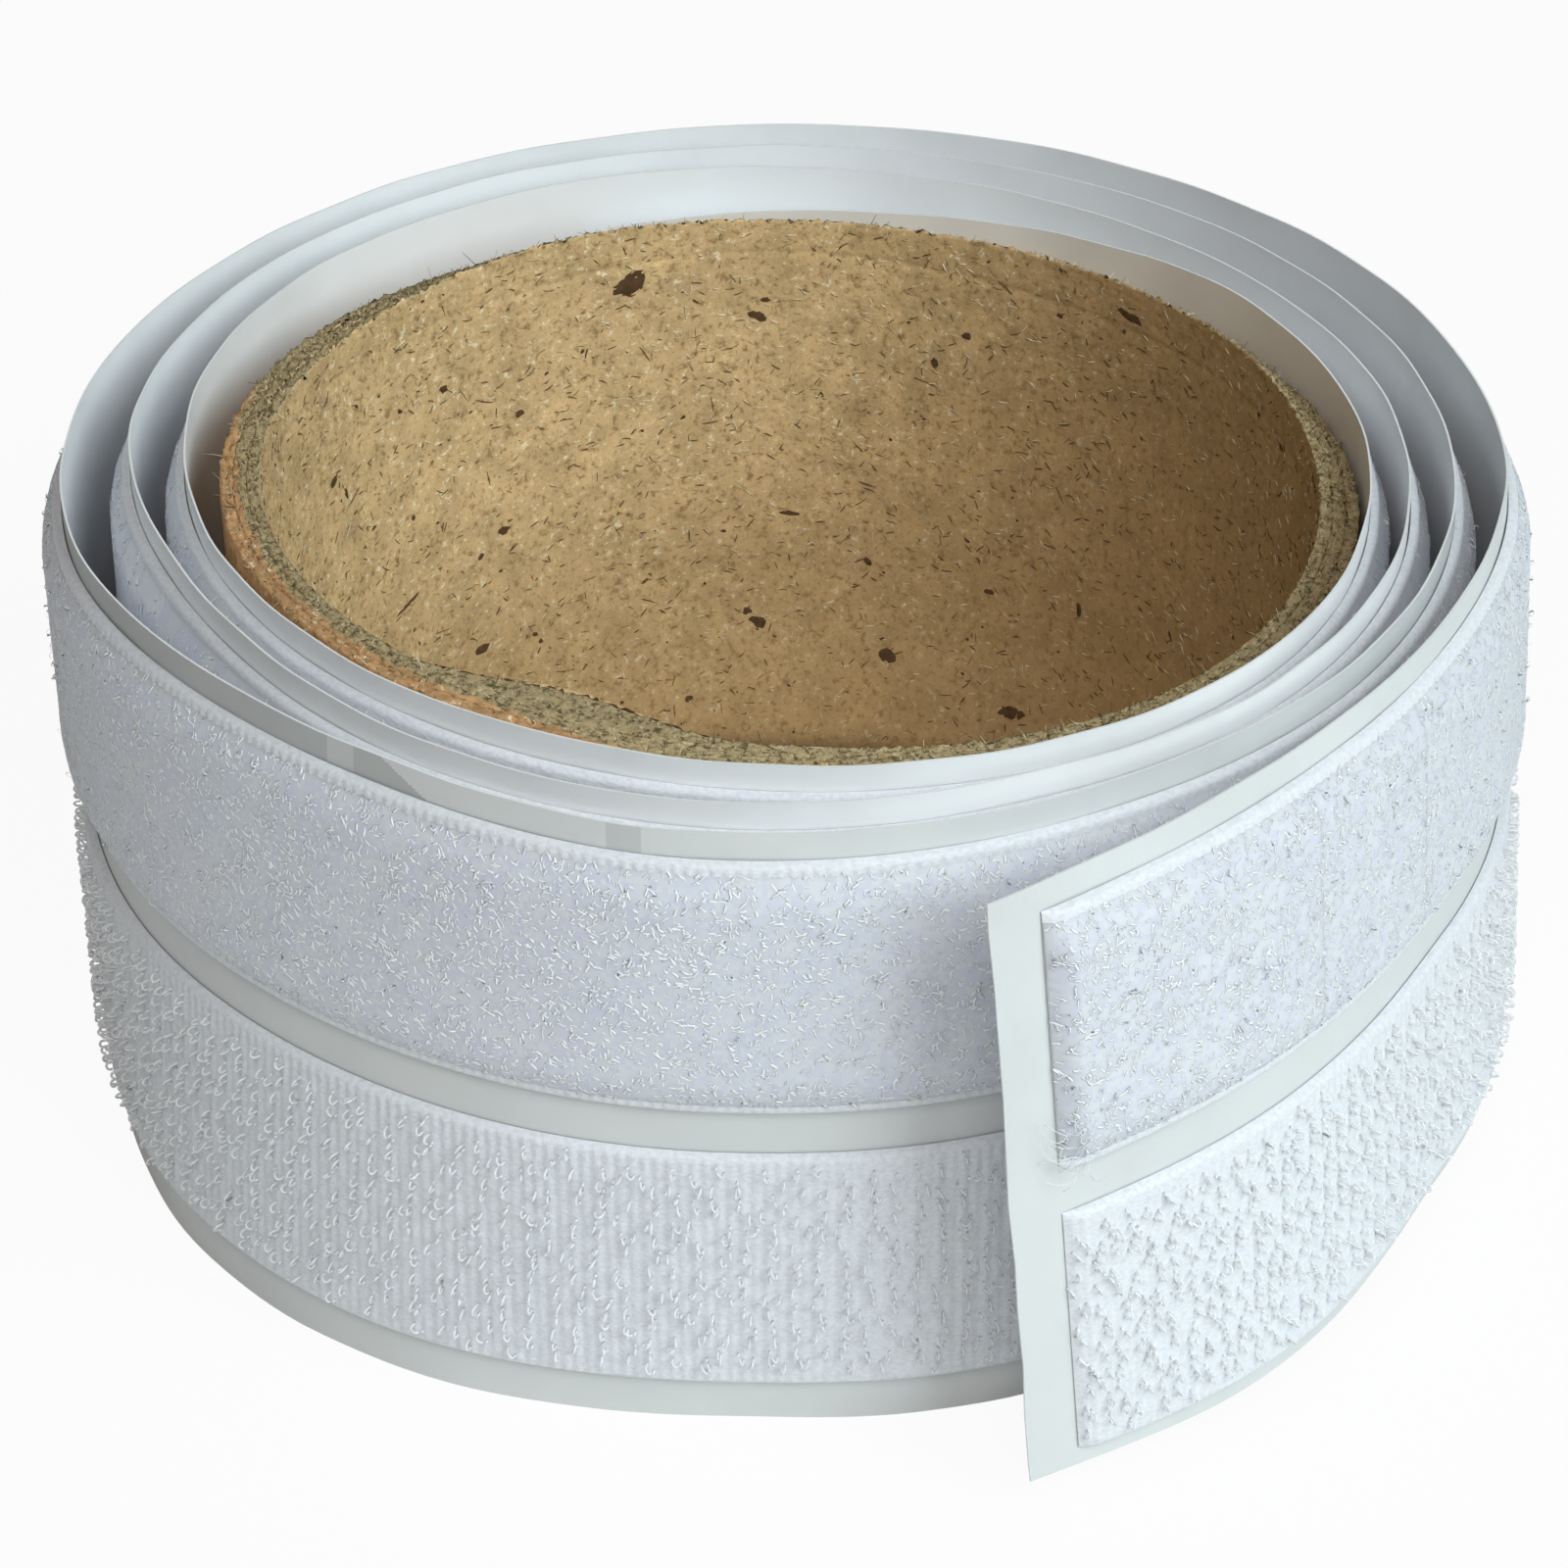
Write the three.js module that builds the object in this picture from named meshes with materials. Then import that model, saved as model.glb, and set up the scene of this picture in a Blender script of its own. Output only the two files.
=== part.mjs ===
// Roll of self-adhesive hook and loop tape on a chipboard core.
// A paper liner carries two woven strips side by side: loops above, hooks below. The band is wound
// loosely around the core and stands on its lower edge, with its free end lifted off the roll.
// Millimetres, +Z up. The origin is in the middle of the roll's base.
import * as THREE from 'three';

// Chipboard core, three glued plies
const CORE_BORE_RADIUS = 39.1;
const CORE_PLY_THICKNESS = 0.9;
const CORE_GLUE_GAP = 0.1;
const CORE_RIM_DROP = 1.95; // the rim lies this far below the liner's upper edge
const CORE_RIM_SLOPE_X = -0.027; // the hand-cut rim rises towards the left
const CORE_RIM_SLOPE_Y = -0.015; // and towards the front
const CORE_SIDES = 60;

// Widths of the band, from its lower edge up
const BOTTOM_MARGIN = 3.6;
const HOOK_WIDTH = 20;
const STRIP_GAP = 3.6;
const LOOP_WIDTH = 20;
const TOP_MARGIN = 2;
const HOOK_SELVAGE = 1.3;
const LOOP_SELVAGE = 1;

// Thicknesses of the layers, from the liner outwards
const LINER_THICKNESS = 0.15;
const ADHESIVE_THICKNESS = 0.2;
const GROUND_THICKNESS = 0.45;
const LOOP_PILE_HEIGHT = 1.1;
const HOOK_HEIGHT = 1.1;
const BOND_GAP = 0.08;

// Rows of hooks across the band, on the part of it that lies open
const HOOK_ROW_PITCH = 1.62;
const HOOK_ROW_GROOVE = 0.4; // height left between two rows, as a share of the hooks' height
const OPEN_ARC = 372; // degrees of the coil, up to the free end, that lie open when the end is lifted

// Winding, counted in turns from the band's inner end on the core
const WINDING_TURNS = 3.524;
const START_ANGLE = 110; // degrees from +X, where the inner end lies
const CORE_CLEARANCE = 0.35; // between the core and the turn that lies on it
const TURN_SLACK = 1.75; // mean play between turns, added to the band's thickness
const SEAT_SOFTNESS = 0.5; // how gradually the first turn leaves the core
const START_SINK = 0.75; // slack that the core takes out of the first turn
const LEAN_BACK = 0.43; // shift of a turn's centre to the back, at the inner end
const LEAN_BACK_GAIN = 0.38; // and what each turn adds to it
const LEAN_LEFT = 0.58;
const LEAN_LEFT_GAIN = 0.28;
const OVAL_DIAGONAL = -2; // stretch of a turn along its diagonal, at the inner end
const OVAL_DIAGONAL_GAIN = 0.8;
const OVAL_WIDTH = -0.77; // stretch of every turn from side to side
const STEPS_PER_TURN = 36;

// Places where the loose outer turns bulge or are dented: the middle and the half length of each, in
// turns, and how far it moves the upper and the lower edge out
const BULGES = [
  { middle: 1.25, reach: 0.15, upper: 0.4, lower: 0.3 }, // second turn, right
  { middle: 1.57, reach: 0.09, upper: 1, lower: 0 }, // second turn, front
  { middle: 1.73, reach: 0.1, upper: -1.4, lower: 0 }, // second turn, front left
  { middle: 2.52, reach: 0.05, upper: 0, lower: 0.5 }, // third turn, behind the free end
  { middle: 2.56, reach: 0.09, upper: 0.8, lower: -0.9 }, // third turn, front
  { middle: 2.67, reach: 0.1, upper: -1.6, lower: 0.9 }, // third turn, front left
  { middle: 2.8, reach: 0.1, upper: 0.4, lower: -1.5 }, // third turn, left
  { middle: 3.32, reach: 0.06, upper: 0.4, lower: 0 }, // outer turn, right
  { middle: 3.36, reach: 0.13, upper: 0, lower: 1.7 }, // outer turn, right, where the free end starts
  { middle: 3.462, reach: 0.075, upper: 0.8, lower: 3.9 }, // free end
];

// Free end: links that bend one after another, and an end link with strips that peel off
const TAIL_LINKS = 3;
const TAIL_LINK_ARC = 22; // degrees of winding in each link
const TAIL_END_ARC = 30; // and in the end link
const TAIL_LINK_GAP = 0.4; // slit between links, so that they can fold inwards a little
const TAIL_STEPS = 3;
const TAIL_LIFT = 7; // how far the end stands off the roll
const TAIL_LIFT_ARC = 34; // degrees of winding over which it lifts
const TAIL_FLARE = 3; // how far the end's lower edge stands out past its upper edge
const FLARE_TURNS = 2.5; // turns over which the flare grows
const PEEL_ROOT = 6; // stretch of the end link's strips that stays on the liner
const LINER_TAB = 3.9; // bare liner past the ends of the strips
const END_SLANT = 4.2; // the end is cut askew: its lower corner is this much shorter

// Heights and depths that follow from the sizes above
const HOOK_BOTTOM = BOTTOM_MARGIN;
const HOOK_TOP = HOOK_BOTTOM + HOOK_WIDTH;
const LOOP_BOTTOM = HOOK_TOP + STRIP_GAP;
const LOOP_TOP = LOOP_BOTTOM + LOOP_WIDTH;
const LINER_WIDTH = LOOP_TOP + TOP_MARGIN;
const ADHESIVE_DEPTH = LINER_THICKNESS + BOND_GAP;
const GROUND_DEPTH = ADHESIVE_DEPTH + ADHESIVE_THICKNESS + BOND_GAP;
const PILE_DEPTH = GROUND_DEPTH + GROUND_THICKNESS + BOND_GAP;
const BAND_THICKNESS = PILE_DEPTH + Math.max(LOOP_PILE_HEIGHT, HOOK_HEIGHT);
const CORE_RADIUS = CORE_BORE_RADIUS + 3 * CORE_PLY_THICKNESS + 2 * CORE_GLUE_GAP;
const CORE_LENGTH = LINER_WIDTH - CORE_RIM_DROP;
const TURN_PITCH = BAND_THICKNESS + TURN_SLACK;
const LINK_TURNS = TAIL_LINK_ARC / 360;
const END_TURNS = WINDING_TURNS - TAIL_END_ARC / 360;
const COIL_TURNS = END_TURNS - TAIL_LINKS * LINK_TURNS;
const LIFT_TURNS = TAIL_LIFT_ARC / 360;
const OPEN_TURNS = COIL_TURNS - OPEN_ARC / 360;

const paper = new THREE.MeshStandardMaterial({ color: 0xe4e8e8, roughness: 0.5, metalness: 0 });
const film = new THREE.MeshStandardMaterial({ color: 0xd9dcd4, roughness: 0.3, metalness: 0 });
const weave = new THREE.MeshStandardMaterial({ color: 0xd6dde6, roughness: 0.8, metalness: 0 });
const loops = new THREE.MeshStandardMaterial({ color: 0xdcdfec, roughness: 0.9, metalness: 0 });
const hooks = new THREE.MeshStandardMaterial({ color: 0xd3dfe8, roughness: 0.35, metalness: 0 });
const board = new THREE.MeshStandardMaterial({ color: 0xa98454, roughness: 0.95, metalness: 0 });

const root = new THREE.Group();
const roll = new THREE.Group();
root.add(roll);

function addMesh(parent, name, geometry, material) {
  const mesh = new THREE.Mesh(geometry, material);
  mesh.name = name;
  parent.add(mesh);
  return mesh;
}

// Share of the way from low to high, kept between 0 and 1
function share(value, low, high) {
  return THREE.MathUtils.clamp((value - low) / (high - low), 0, 1);
}

// Angle of the winding after some turns: outwards it runs clockwise, seen from above
function windingAngle(turns) {
  return THREE.MathUtils.degToRad(START_ANGLE - 360 * turns);
}

// How far the bulges move one edge out after some turns
function bulging(turns, edge) {
  let moved = 0;
  for (const bulge of BULGES) {
    const away = THREE.MathUtils.clamp((turns - bulge.middle) / bulge.reach, -1, 1);
    moved += bulge[edge] * Math.cos((away * Math.PI) / 2) ** 2;
  }
  return moved;
}

// Radius of the liner's inner face after some turns, at the upper edge
function windingRadius(turns) {
  const angle = windingAngle(turns);
  const seat = CORE_RADIUS + CORE_CLEARANCE;
  let radius = seat - START_SINK + TURN_PITCH * turns;
  radius += (LEAN_BACK + LEAN_BACK_GAIN * turns) * Math.sin(angle);
  radius -= (LEAN_LEFT + LEAN_LEFT_GAIN * turns) * Math.cos(angle);
  radius += (OVAL_DIAGONAL + OVAL_DIAGONAL_GAIN * turns) * Math.sin(2 * angle);
  radius += OVAL_WIDTH * Math.cos(2 * angle);
  const resting = seat + SEAT_SOFTNESS * Math.log1p(Math.exp((radius - seat) / SEAT_SOFTNESS));
  const lifted = share(turns, WINDING_TURNS - LIFT_TURNS, WINDING_TURNS);
  return resting + TAIL_LIFT * lifted ** 2 + bulging(turns, 'upper');
}

// Extra radius at the lower edge
function windingFlare(turns) {
  const flare = TAIL_FLARE * share(turns, WINDING_TURNS - FLARE_TURNS, WINDING_TURNS);
  return flare + bulging(turns, 'lower') - bulging(turns, 'upper');
}

function planPoint(turns, flared) {
  const angle = windingAngle(turns);
  const radius = windingRadius(turns) + (flared ? windingFlare(turns) : 0);
  return new THREE.Vector2(radius * Math.cos(angle), radius * Math.sin(angle));
}

// Point of the plan, moved outwards across the band by a depth
function offsetPoint(turns, flared, depth) {
  const nudge = 1e-4;
  const ahead = planPoint(turns + nudge, flared);
  const behind = planPoint(turns - nudge, flared);
  const outward = new THREE.Vector2(behind.y - ahead.y, ahead.x - behind.x).normalize();
  return planPoint(turns, flared).addScaledVector(outward, depth);
}

// A column is one straight line across the band, given by its turns at the lower and upper edge, and by
// the share of a layer's thickness that is filled there
function column(lower, upper = lower) {
  return { lower, upper, fill: 1 };
}

function columnPoint(line, depth, height) {
  const low = offsetPoint(line.lower, true, depth);
  const high = offsetPoint(line.upper, false, depth);
  const at = low.lerp(high, height / LINER_WIDTH);
  return new THREE.Vector3(at.x, at.y, height);
}

// Closed strip between two depths, along a row of columns, with an edge at each of some heights. Both
// faces are split along the same diagonals, so that layers stay parallel where the band twists.
function bandGeometry(columns, depth, thickness, heights) {
  const around = 2 * heights.length;
  const positions = [];
  for (const line of columns) {
    for (const height of heights) {
      positions.push(...columnPoint(line, depth, height).toArray());
    }
    for (const height of heights.toReversed()) {
      positions.push(...columnPoint(line, depth + thickness * line.fill, height).toArray());
    }
  }
  const indices = [];
  for (let i = 0; i < columns.length - 1; i++) {
    for (let side = 0; side < around; side++) {
      const a = around * i + side;
      const b = around * i + ((side + 1) % around);
      const outer = side >= heights.length;
      if (outer) {
        indices.push(a, a + around, b + around, a, b + around, b);
      } else {
        indices.push(a, a + around, b, b, a + around, b + around);
      }
    }
  }
  const last = around * (columns.length - 1);
  for (let low = 0; low < heights.length - 1; low++) {
    const high = around - 1 - low;
    indices.push(low, low + 1, high - 1, low, high - 1, high);
    indices.push(last + low, last + high - 1, last + low + 1, last + low, last + high, last + high - 1);
  }
  const geometry = new THREE.BufferGeometry();
  geometry.setAttribute('position', new THREE.Float32BufferAttribute(positions, 3));
  geometry.setIndex(indices);
  geometry.computeVertexNormals();
  return geometry;
}

// The liner along one stretch of the band
function addLiner(parent, suffix, columns) {
  const heights = [0, HOOK_BOTTOM, HOOK_TOP, LOOP_BOTTOM, LOOP_TOP, LINER_WIDTH];
  const geometry = bandGeometry(columns, 0, LINER_THICKNESS, heights);
  addMesh(parent, `liner_${suffix}`, geometry, paper);
}

// Turns that a length along the band takes up, near some turn
function turnsOf(length, turns) {
  const nudge = 1e-3;
  const reach = planPoint(turns + nudge, false).distanceTo(planPoint(turns - nudge, false));
  return (length * 2 * nudge) / reach;
}

// Evenly spaced columns from one turn to another
function spacedColumns(from, to, steps, columnAt = column) {
  const columns = [];
  for (let i = 0; i <= steps; i++) {
    columns.push(columnAt(THREE.MathUtils.lerp(from, to, i / steps)));
  }
  return columns;
}

// Columns of the hook field: the stretch's own where it is wound in, then grooves and rows in turn
function hookColumns(columns, columnAt) {
  const woundIn = columns.filter((line) => line.upper < OPEN_TURNS);
  const from = Math.max(columns[0].upper, OPEN_TURNS);
  const to = columns.at(-1).upper;
  const rows = Math.round((to - from) / turnsOf(HOOK_ROW_PITCH, (from + to) / 2));
  const open = spacedColumns(from, to, 2 * rows, columnAt);
  for (let groove = 0; groove <= rows; groove++) {
    open[2 * groove].fill = HOOK_ROW_GROOVE;
  }
  return [...woundIn, ...open];
}

// The layers of both strips along one stretch of the band
function addStrips(parent, suffix, columns, columnAt = column) {
  const rows = hookColumns(columns, columnAt);
  const strips = [
    ['loop', LOOP_BOTTOM, LOOP_TOP, 'pile', LOOP_PILE_HEIGHT, LOOP_SELVAGE, loops, columns],
    ['hook', HOOK_BOTTOM, HOOK_TOP, 'field', HOOK_HEIGHT, HOOK_SELVAGE, hooks, rows],
  ];
  for (const [strip, bottom, top, face, height, selvage, material, faceColumns] of strips) {
    const adhesive = bandGeometry(columns, ADHESIVE_DEPTH, ADHESIVE_THICKNESS, [bottom, top]);
    addMesh(parent, `${strip}_adhesive_${suffix}`, adhesive, film);
    const ground = bandGeometry(columns, GROUND_DEPTH, GROUND_THICKNESS, [bottom, top]);
    addMesh(parent, `${strip}_ground_${suffix}`, ground, weave);
    const facing = bandGeometry(faceColumns, PILE_DEPTH, height, [bottom + selvage, top - selvage]);
    addMesh(parent, `${strip}_${face}_${suffix}`, facing, material);
  }
}

// Core: three plies, with their rims on one slanted plane
const core = new THREE.Group();
roll.add(core);
['core_inner_ply', 'core_middle_ply', 'core_outer_ply'].forEach((name, ply) => {
  const inner = CORE_BORE_RADIUS + ply * (CORE_PLY_THICKNESS + CORE_GLUE_GAP);
  const outer = inner + CORE_PLY_THICKNESS;
  const profile = [
    new THREE.Vector2(inner, 0),
    new THREE.Vector2(outer, 0),
    new THREE.Vector2(outer, CORE_LENGTH),
    new THREE.Vector2(inner, CORE_LENGTH),
    new THREE.Vector2(inner, 0),
  ];
  const geometry = new THREE.LatheGeometry(profile, CORE_SIDES);
  geometry.rotateX(Math.PI / 2);
  const position = geometry.attributes.position;
  for (let i = 0; i < position.count; i++) {
    if (position.getZ(i) < CORE_LENGTH / 2) continue;
    const rise = CORE_RIM_SLOPE_X * position.getX(i) + CORE_RIM_SLOPE_Y * position.getY(i);
    position.setZ(i, CORE_LENGTH + rise);
  }
  geometry.computeVertexNormals();
  addMesh(core, name, geometry, board);
});

// Coil: every turn that stays wound
const coil = new THREE.Group();
roll.add(coil);
const coilColumns = [];
for (let step = 0; step / STEPS_PER_TURN < COIL_TURNS - 0.3 / STEPS_PER_TURN; step++) {
  coilColumns.push(column(step / STEPS_PER_TURN));
}
coilColumns.push(column(COIL_TURNS - turnsOf(TAIL_LINK_GAP / 2, COIL_TURNS)));
addLiner(coil, 'coil', coilColumns);
addStrips(coil, 'coil', coilColumns);

// Line across the band's outer face that a link or a flap turns about
const hinges = [];
function addHinge(line) {
  hinges.push([columnPoint(line, BAND_THICKNESS, 0), columnPoint(line, BAND_THICKNESS, LINER_WIDTH)]);
}

// Links of the free end
const tail = new THREE.Group();
roll.add(tail);
for (let link = 0; link < TAIL_LINKS; link++) {
  const from = COIL_TURNS + link * LINK_TURNS;
  const slit = turnsOf(TAIL_LINK_GAP / 2, from);
  const columns = spacedColumns(from + slit, from + LINK_TURNS - slit, TAIL_STEPS);
  addHinge(column(from));
  addLiner(tail, `tail_${link + 1}`, columns);
  addStrips(tail, `tail_${link + 1}`, columns);
}

// End link: past a short root its strips are flaps that peel off the liner
const endSlit = turnsOf(TAIL_LINK_GAP / 2, END_TURNS);
const endSlant = turnsOf(END_SLANT, WINDING_TURNS);
const stripEnd = WINDING_TURNS - turnsOf(LINER_TAB, WINDING_TURNS);
const peelLine = END_TURNS + turnsOf(PEEL_ROOT, END_TURNS);
function endColumn(turns) {
  return column(turns - endSlant * share(turns, END_TURNS, stripEnd), turns);
}
const rootColumns = spacedColumns(END_TURNS + endSlit, peelLine - endSlit, 1, endColumn);
const flapColumns = spacedColumns(peelLine + endSlit, stripEnd, TAIL_STEPS, endColumn);
addHinge(column(END_TURNS));
addHinge(endColumn(peelLine));
addLiner(tail, 'end', [...rootColumns, ...flapColumns, endColumn(WINDING_TURNS)]);
addStrips(tail, 'end', rootColumns, endColumn);
addStrips(tail, 'flap', flapColumns, endColumn);

// The origin goes to the middle of the base
const middle = new THREE.Box3().setFromObject(roll).getCenter(new THREE.Vector3());
roll.position.set(-middle.x, -middle.y, 0);
root.userData.hinges = hinges.map((line) => line.map((point) => point.clone().add(roll.position)));

// Least gap between one turn's outer face and the next turn's liner, measured on points
const SAMPLES_PER_STEP = 4;
let leastGap = Infinity;
for (const flared of [false, true]) {
  const inside = [];
  const outside = [];
  const samples = Math.floor(WINDING_TURNS * STEPS_PER_TURN * SAMPLES_PER_STEP);
  for (let i = 0; i <= samples; i++) {
    const turns = i / (STEPS_PER_TURN * SAMPLES_PER_STEP);
    inside.push(offsetPoint(turns, flared, 0));
    outside.push(offsetPoint(turns, flared, BAND_THICKNESS));
  }
  const half = (STEPS_PER_TURN * SAMPLES_PER_STEP) / 2;
  outside.forEach((point, i) => {
    for (let j = i + half; j < inside.length; j++) {
      leastGap = Math.min(leastGap, point.distanceTo(inside[j]));
    }
  });
}
console.log(`least gap between turns: ${leastGap.toFixed(2)} mm`);

export default root;
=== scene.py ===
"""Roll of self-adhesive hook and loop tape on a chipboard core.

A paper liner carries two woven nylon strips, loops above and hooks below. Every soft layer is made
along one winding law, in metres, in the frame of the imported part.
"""

import math

import bpy
import numpy as np
from bpy.props import FloatProperty, FloatVectorProperty, IntProperty, PointerProperty
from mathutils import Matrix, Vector


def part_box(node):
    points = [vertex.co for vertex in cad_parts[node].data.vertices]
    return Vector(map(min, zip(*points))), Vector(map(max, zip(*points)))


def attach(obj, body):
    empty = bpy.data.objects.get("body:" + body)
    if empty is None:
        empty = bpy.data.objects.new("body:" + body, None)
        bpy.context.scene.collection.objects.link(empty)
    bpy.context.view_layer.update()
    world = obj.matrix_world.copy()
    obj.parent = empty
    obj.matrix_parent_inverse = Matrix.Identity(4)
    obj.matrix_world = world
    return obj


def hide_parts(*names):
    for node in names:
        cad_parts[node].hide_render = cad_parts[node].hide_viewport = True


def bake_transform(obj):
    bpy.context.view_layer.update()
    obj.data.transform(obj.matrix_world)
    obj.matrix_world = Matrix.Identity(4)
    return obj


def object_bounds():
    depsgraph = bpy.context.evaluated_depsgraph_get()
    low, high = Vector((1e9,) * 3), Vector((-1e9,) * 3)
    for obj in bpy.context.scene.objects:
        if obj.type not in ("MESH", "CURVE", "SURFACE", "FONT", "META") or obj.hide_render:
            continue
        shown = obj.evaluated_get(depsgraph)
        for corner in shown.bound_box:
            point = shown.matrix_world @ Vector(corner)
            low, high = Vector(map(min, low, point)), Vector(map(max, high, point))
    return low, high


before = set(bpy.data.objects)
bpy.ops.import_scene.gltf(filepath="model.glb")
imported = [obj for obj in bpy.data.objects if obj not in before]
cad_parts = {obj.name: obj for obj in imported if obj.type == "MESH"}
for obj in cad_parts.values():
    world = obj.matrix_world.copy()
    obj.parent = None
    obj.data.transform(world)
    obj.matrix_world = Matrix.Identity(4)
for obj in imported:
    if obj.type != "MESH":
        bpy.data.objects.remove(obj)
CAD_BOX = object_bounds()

bl_info = {
    "name": "Hook and loop tape roll",
    "version": (1, 0, 0),
    "blender": (4, 5, 0),
    "location": "View3D > Sidebar > Tape roll",
    "description": "Builds a wound roll of hook and loop tape around its packed frame",
    "category": "Object",
}

MM = 0.001


def length(name, description, millimetres):
    """A size property, given in millimetres and kept in metres."""
    return FloatProperty(
        name=name, description=description, default=millimetres * MM, unit="LENGTH", precision=5
    )


def number(name, description, value):
    """A plain number property."""
    return FloatProperty(name=name, description=description, default=value, precision=4)


def amount(name, description, value):
    """A whole number property."""
    return IntProperty(name=name, description=description, default=value)


def turn(name, description, degrees):
    """An angle property, given in degrees and kept in radians."""
    return FloatProperty(
        name=name, description=description, default=math.radians(degrees), subtype="ANGLE"
    )


def colour(name, description, red, green, blue):
    """A colour property in linear light."""
    return FloatVectorProperty(
        name=name, description=description, default=(red, green, blue), size=3, min=0, max=1,
        subtype="COLOR",
    )


class TapeRollSizes(bpy.types.PropertyGroup):
    """Sizes of the core, the band's layers and the winding"""

    core_bore_radius: length("Core bore radius", "Radius of the hole in the core", 39.1)
    core_ply_thickness: length("Core ply", "Thickness of one glued ply of chipboard", 0.9)
    core_glue_gap: length("Core glue gap", "Glue line between two plies", 0.1)
    core_rim_drop: length("Core rim drop", "How far the rim lies below the liner's edge", 1.95)
    core_rim_slope_x: number("Core rim slope X", "Rise of the hand-cut rim along X", -0.027)
    core_rim_slope_y: number("Core rim slope Y", "Rise of the hand-cut rim along Y", -0.015)
    bottom_margin: length("Bottom margin", "Bare liner below the hook strip", 3.6)
    hook_width: length("Hook strip width", "Width of the lower strip", 20)
    strip_gap: length("Strip gap", "Bare liner between the strips", 3.6)
    loop_width: length("Loop strip width", "Width of the upper strip", 20)
    top_margin: length("Top margin", "Bare liner above the loop strip", 2)
    hook_selvage: length("Hook selvage", "Woven edge without hooks", 1.3)
    loop_selvage: length("Loop selvage", "Woven edge without loops", 0.8)
    liner_thickness: length("Liner thickness", "Thickness of the paper liner", 0.15)
    adhesive_thickness: length("Adhesive thickness", "Thickness of the glue film", 0.2)
    ground_thickness: length("Ground thickness", "Thickness of the woven ground", 0.45)
    pile_height: length("Pile height", "Height of the pressed pile and of the hinge lines", 1.1)
    bond_gap: length("Bond gap", "Space left between two bonded layers", 0.08)
    winding_turns: number("Winding turns", "Turns from the inner end to the free end", 3.524)
    start_angle: turn("Start angle", "Direction of the inner end, from +X", 110)
    core_clearance: length("Core clearance", "Between the core and the first turn", 0.35)
    turn_slack: length("Turn slack", "Mean play between two turns", 1.75)
    seat_softness: length("Seat softness", "How gradually the first turn leaves the core", 0.5)
    start_sink: length("Start sink", "Slack that the core takes out of the first turn", 0.75)
    lean_back: length("Lean back", "Shift of a turn to the back, at the inner end", 0.43)
    lean_back_gain: length("Lean back gain", "What each turn adds to the shift", 0.38)
    lean_left: length("Lean left", "Shift of a turn to the left, at the inner end", 0.58)
    lean_left_gain: length("Lean left gain", "What each turn adds to the shift", 0.28)
    oval_diagonal: length("Diagonal oval", "Stretch of a turn along its diagonal", -2)
    oval_diagonal_gain: length("Diagonal oval gain", "What each turn adds to the stretch", 0.8)
    oval_width: length("Side oval", "Stretch of every turn from side to side", -0.77)
    tail_link_arc: turn("Link arc", "Winding in each of the three tail links", 22)
    tail_end_arc: turn("End arc", "Winding in the end link", 30)
    tail_lift: length("Tail lift", "How far the free end stands off the roll", 7)
    tail_lift_arc: turn("Tail lift arc", "Winding over which the end lifts", 34)
    tail_flare: length("Tail flare", "How far the end's lower edge stands out", 3)
    flare_turns: number("Flare turns", "Turns over which the flare grows", 2.5)
    peel_root: length("Peel root", "Stretch of the end's strips that stays down", 6)
    liner_tab: length("Liner tab", "Bare liner past the ends of the strips", 3.9)
    end_slant: length("End slant", "How much shorter the end's lower corner is", 4.2)


class TapeRollPile(bpy.types.PropertyGroup):
    """Sizes and counts of the loops, hooks and fibres"""

    rib_pitch: length("Rib pitch", "Distance between the ribs of the weave", 0.81)
    rib_depth: length("Rib depth", "Depth of the grooves between ribs", 0.105)
    bed_height: length("Pile bed", "Height of the matted foot of the loops", 0.98)
    bed_step: length("Pile bed grain", "Size of the lumps in the matted foot", 0.36)
    bed_lump: length("Pile bed lumps", "Height of the lumps in the matted foot", 0.014)
    loop_density: number("Loop density", "Loops on each square millimetre", 5.2)
    inner_loop_density: number("Inner loop density", "Loops on the hidden turns' upper edge", 1.6)
    inner_loop_reach: length("Inner loop reach", "How far down the hidden turns have loops", 4.5)
    loop_height: length("Loop height", "Height of a usual loop above the bed", 0.02)
    loop_height_most: length("Tallest loop", "Height of the tallest loops above the bed", 0.45)
    loop_span: length("Loop span", "Distance between the feet of a loop", 0.27)
    loop_radius: length("Loop yarn radius", "Radius of a loop's filament", 0.066)
    proud_share: number("Proud loops", "Share of the loops that stand out", 0.014)
    # Painted highlight: the share of loops drawn as bright glints
    glint_share: number("Glinting loops", "Share of thick bright loops that lie flat", 0.42)
    hook_row_pitch: length("Hook row pitch", "Distance between rows along the strip", 1.62)
    hook_pitch: length("Hook pitch", "Distance between hooks in a row", 1.1)
    hook_height: length("Hook height", "Height of a hook above the weave", 0.8)
    hook_crook: length("Hook crook", "Radius of the hook's bend", 0.27)
    hook_radius: length("Hook filament radius", "Radius of the hook's filament", 0.1)
    rim_fibres: amount("Rim fibres", "Torn fibres on the core's rim", 5200)
    wall_fibres: amount("Wall fibres", "Fibres on the core's bore", 9000)
    wall_flecks: amount("Wall flecks", "Small flecks on the bore", 260)
    seed: amount("Seed", "Start of every random draw", 17)


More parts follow.
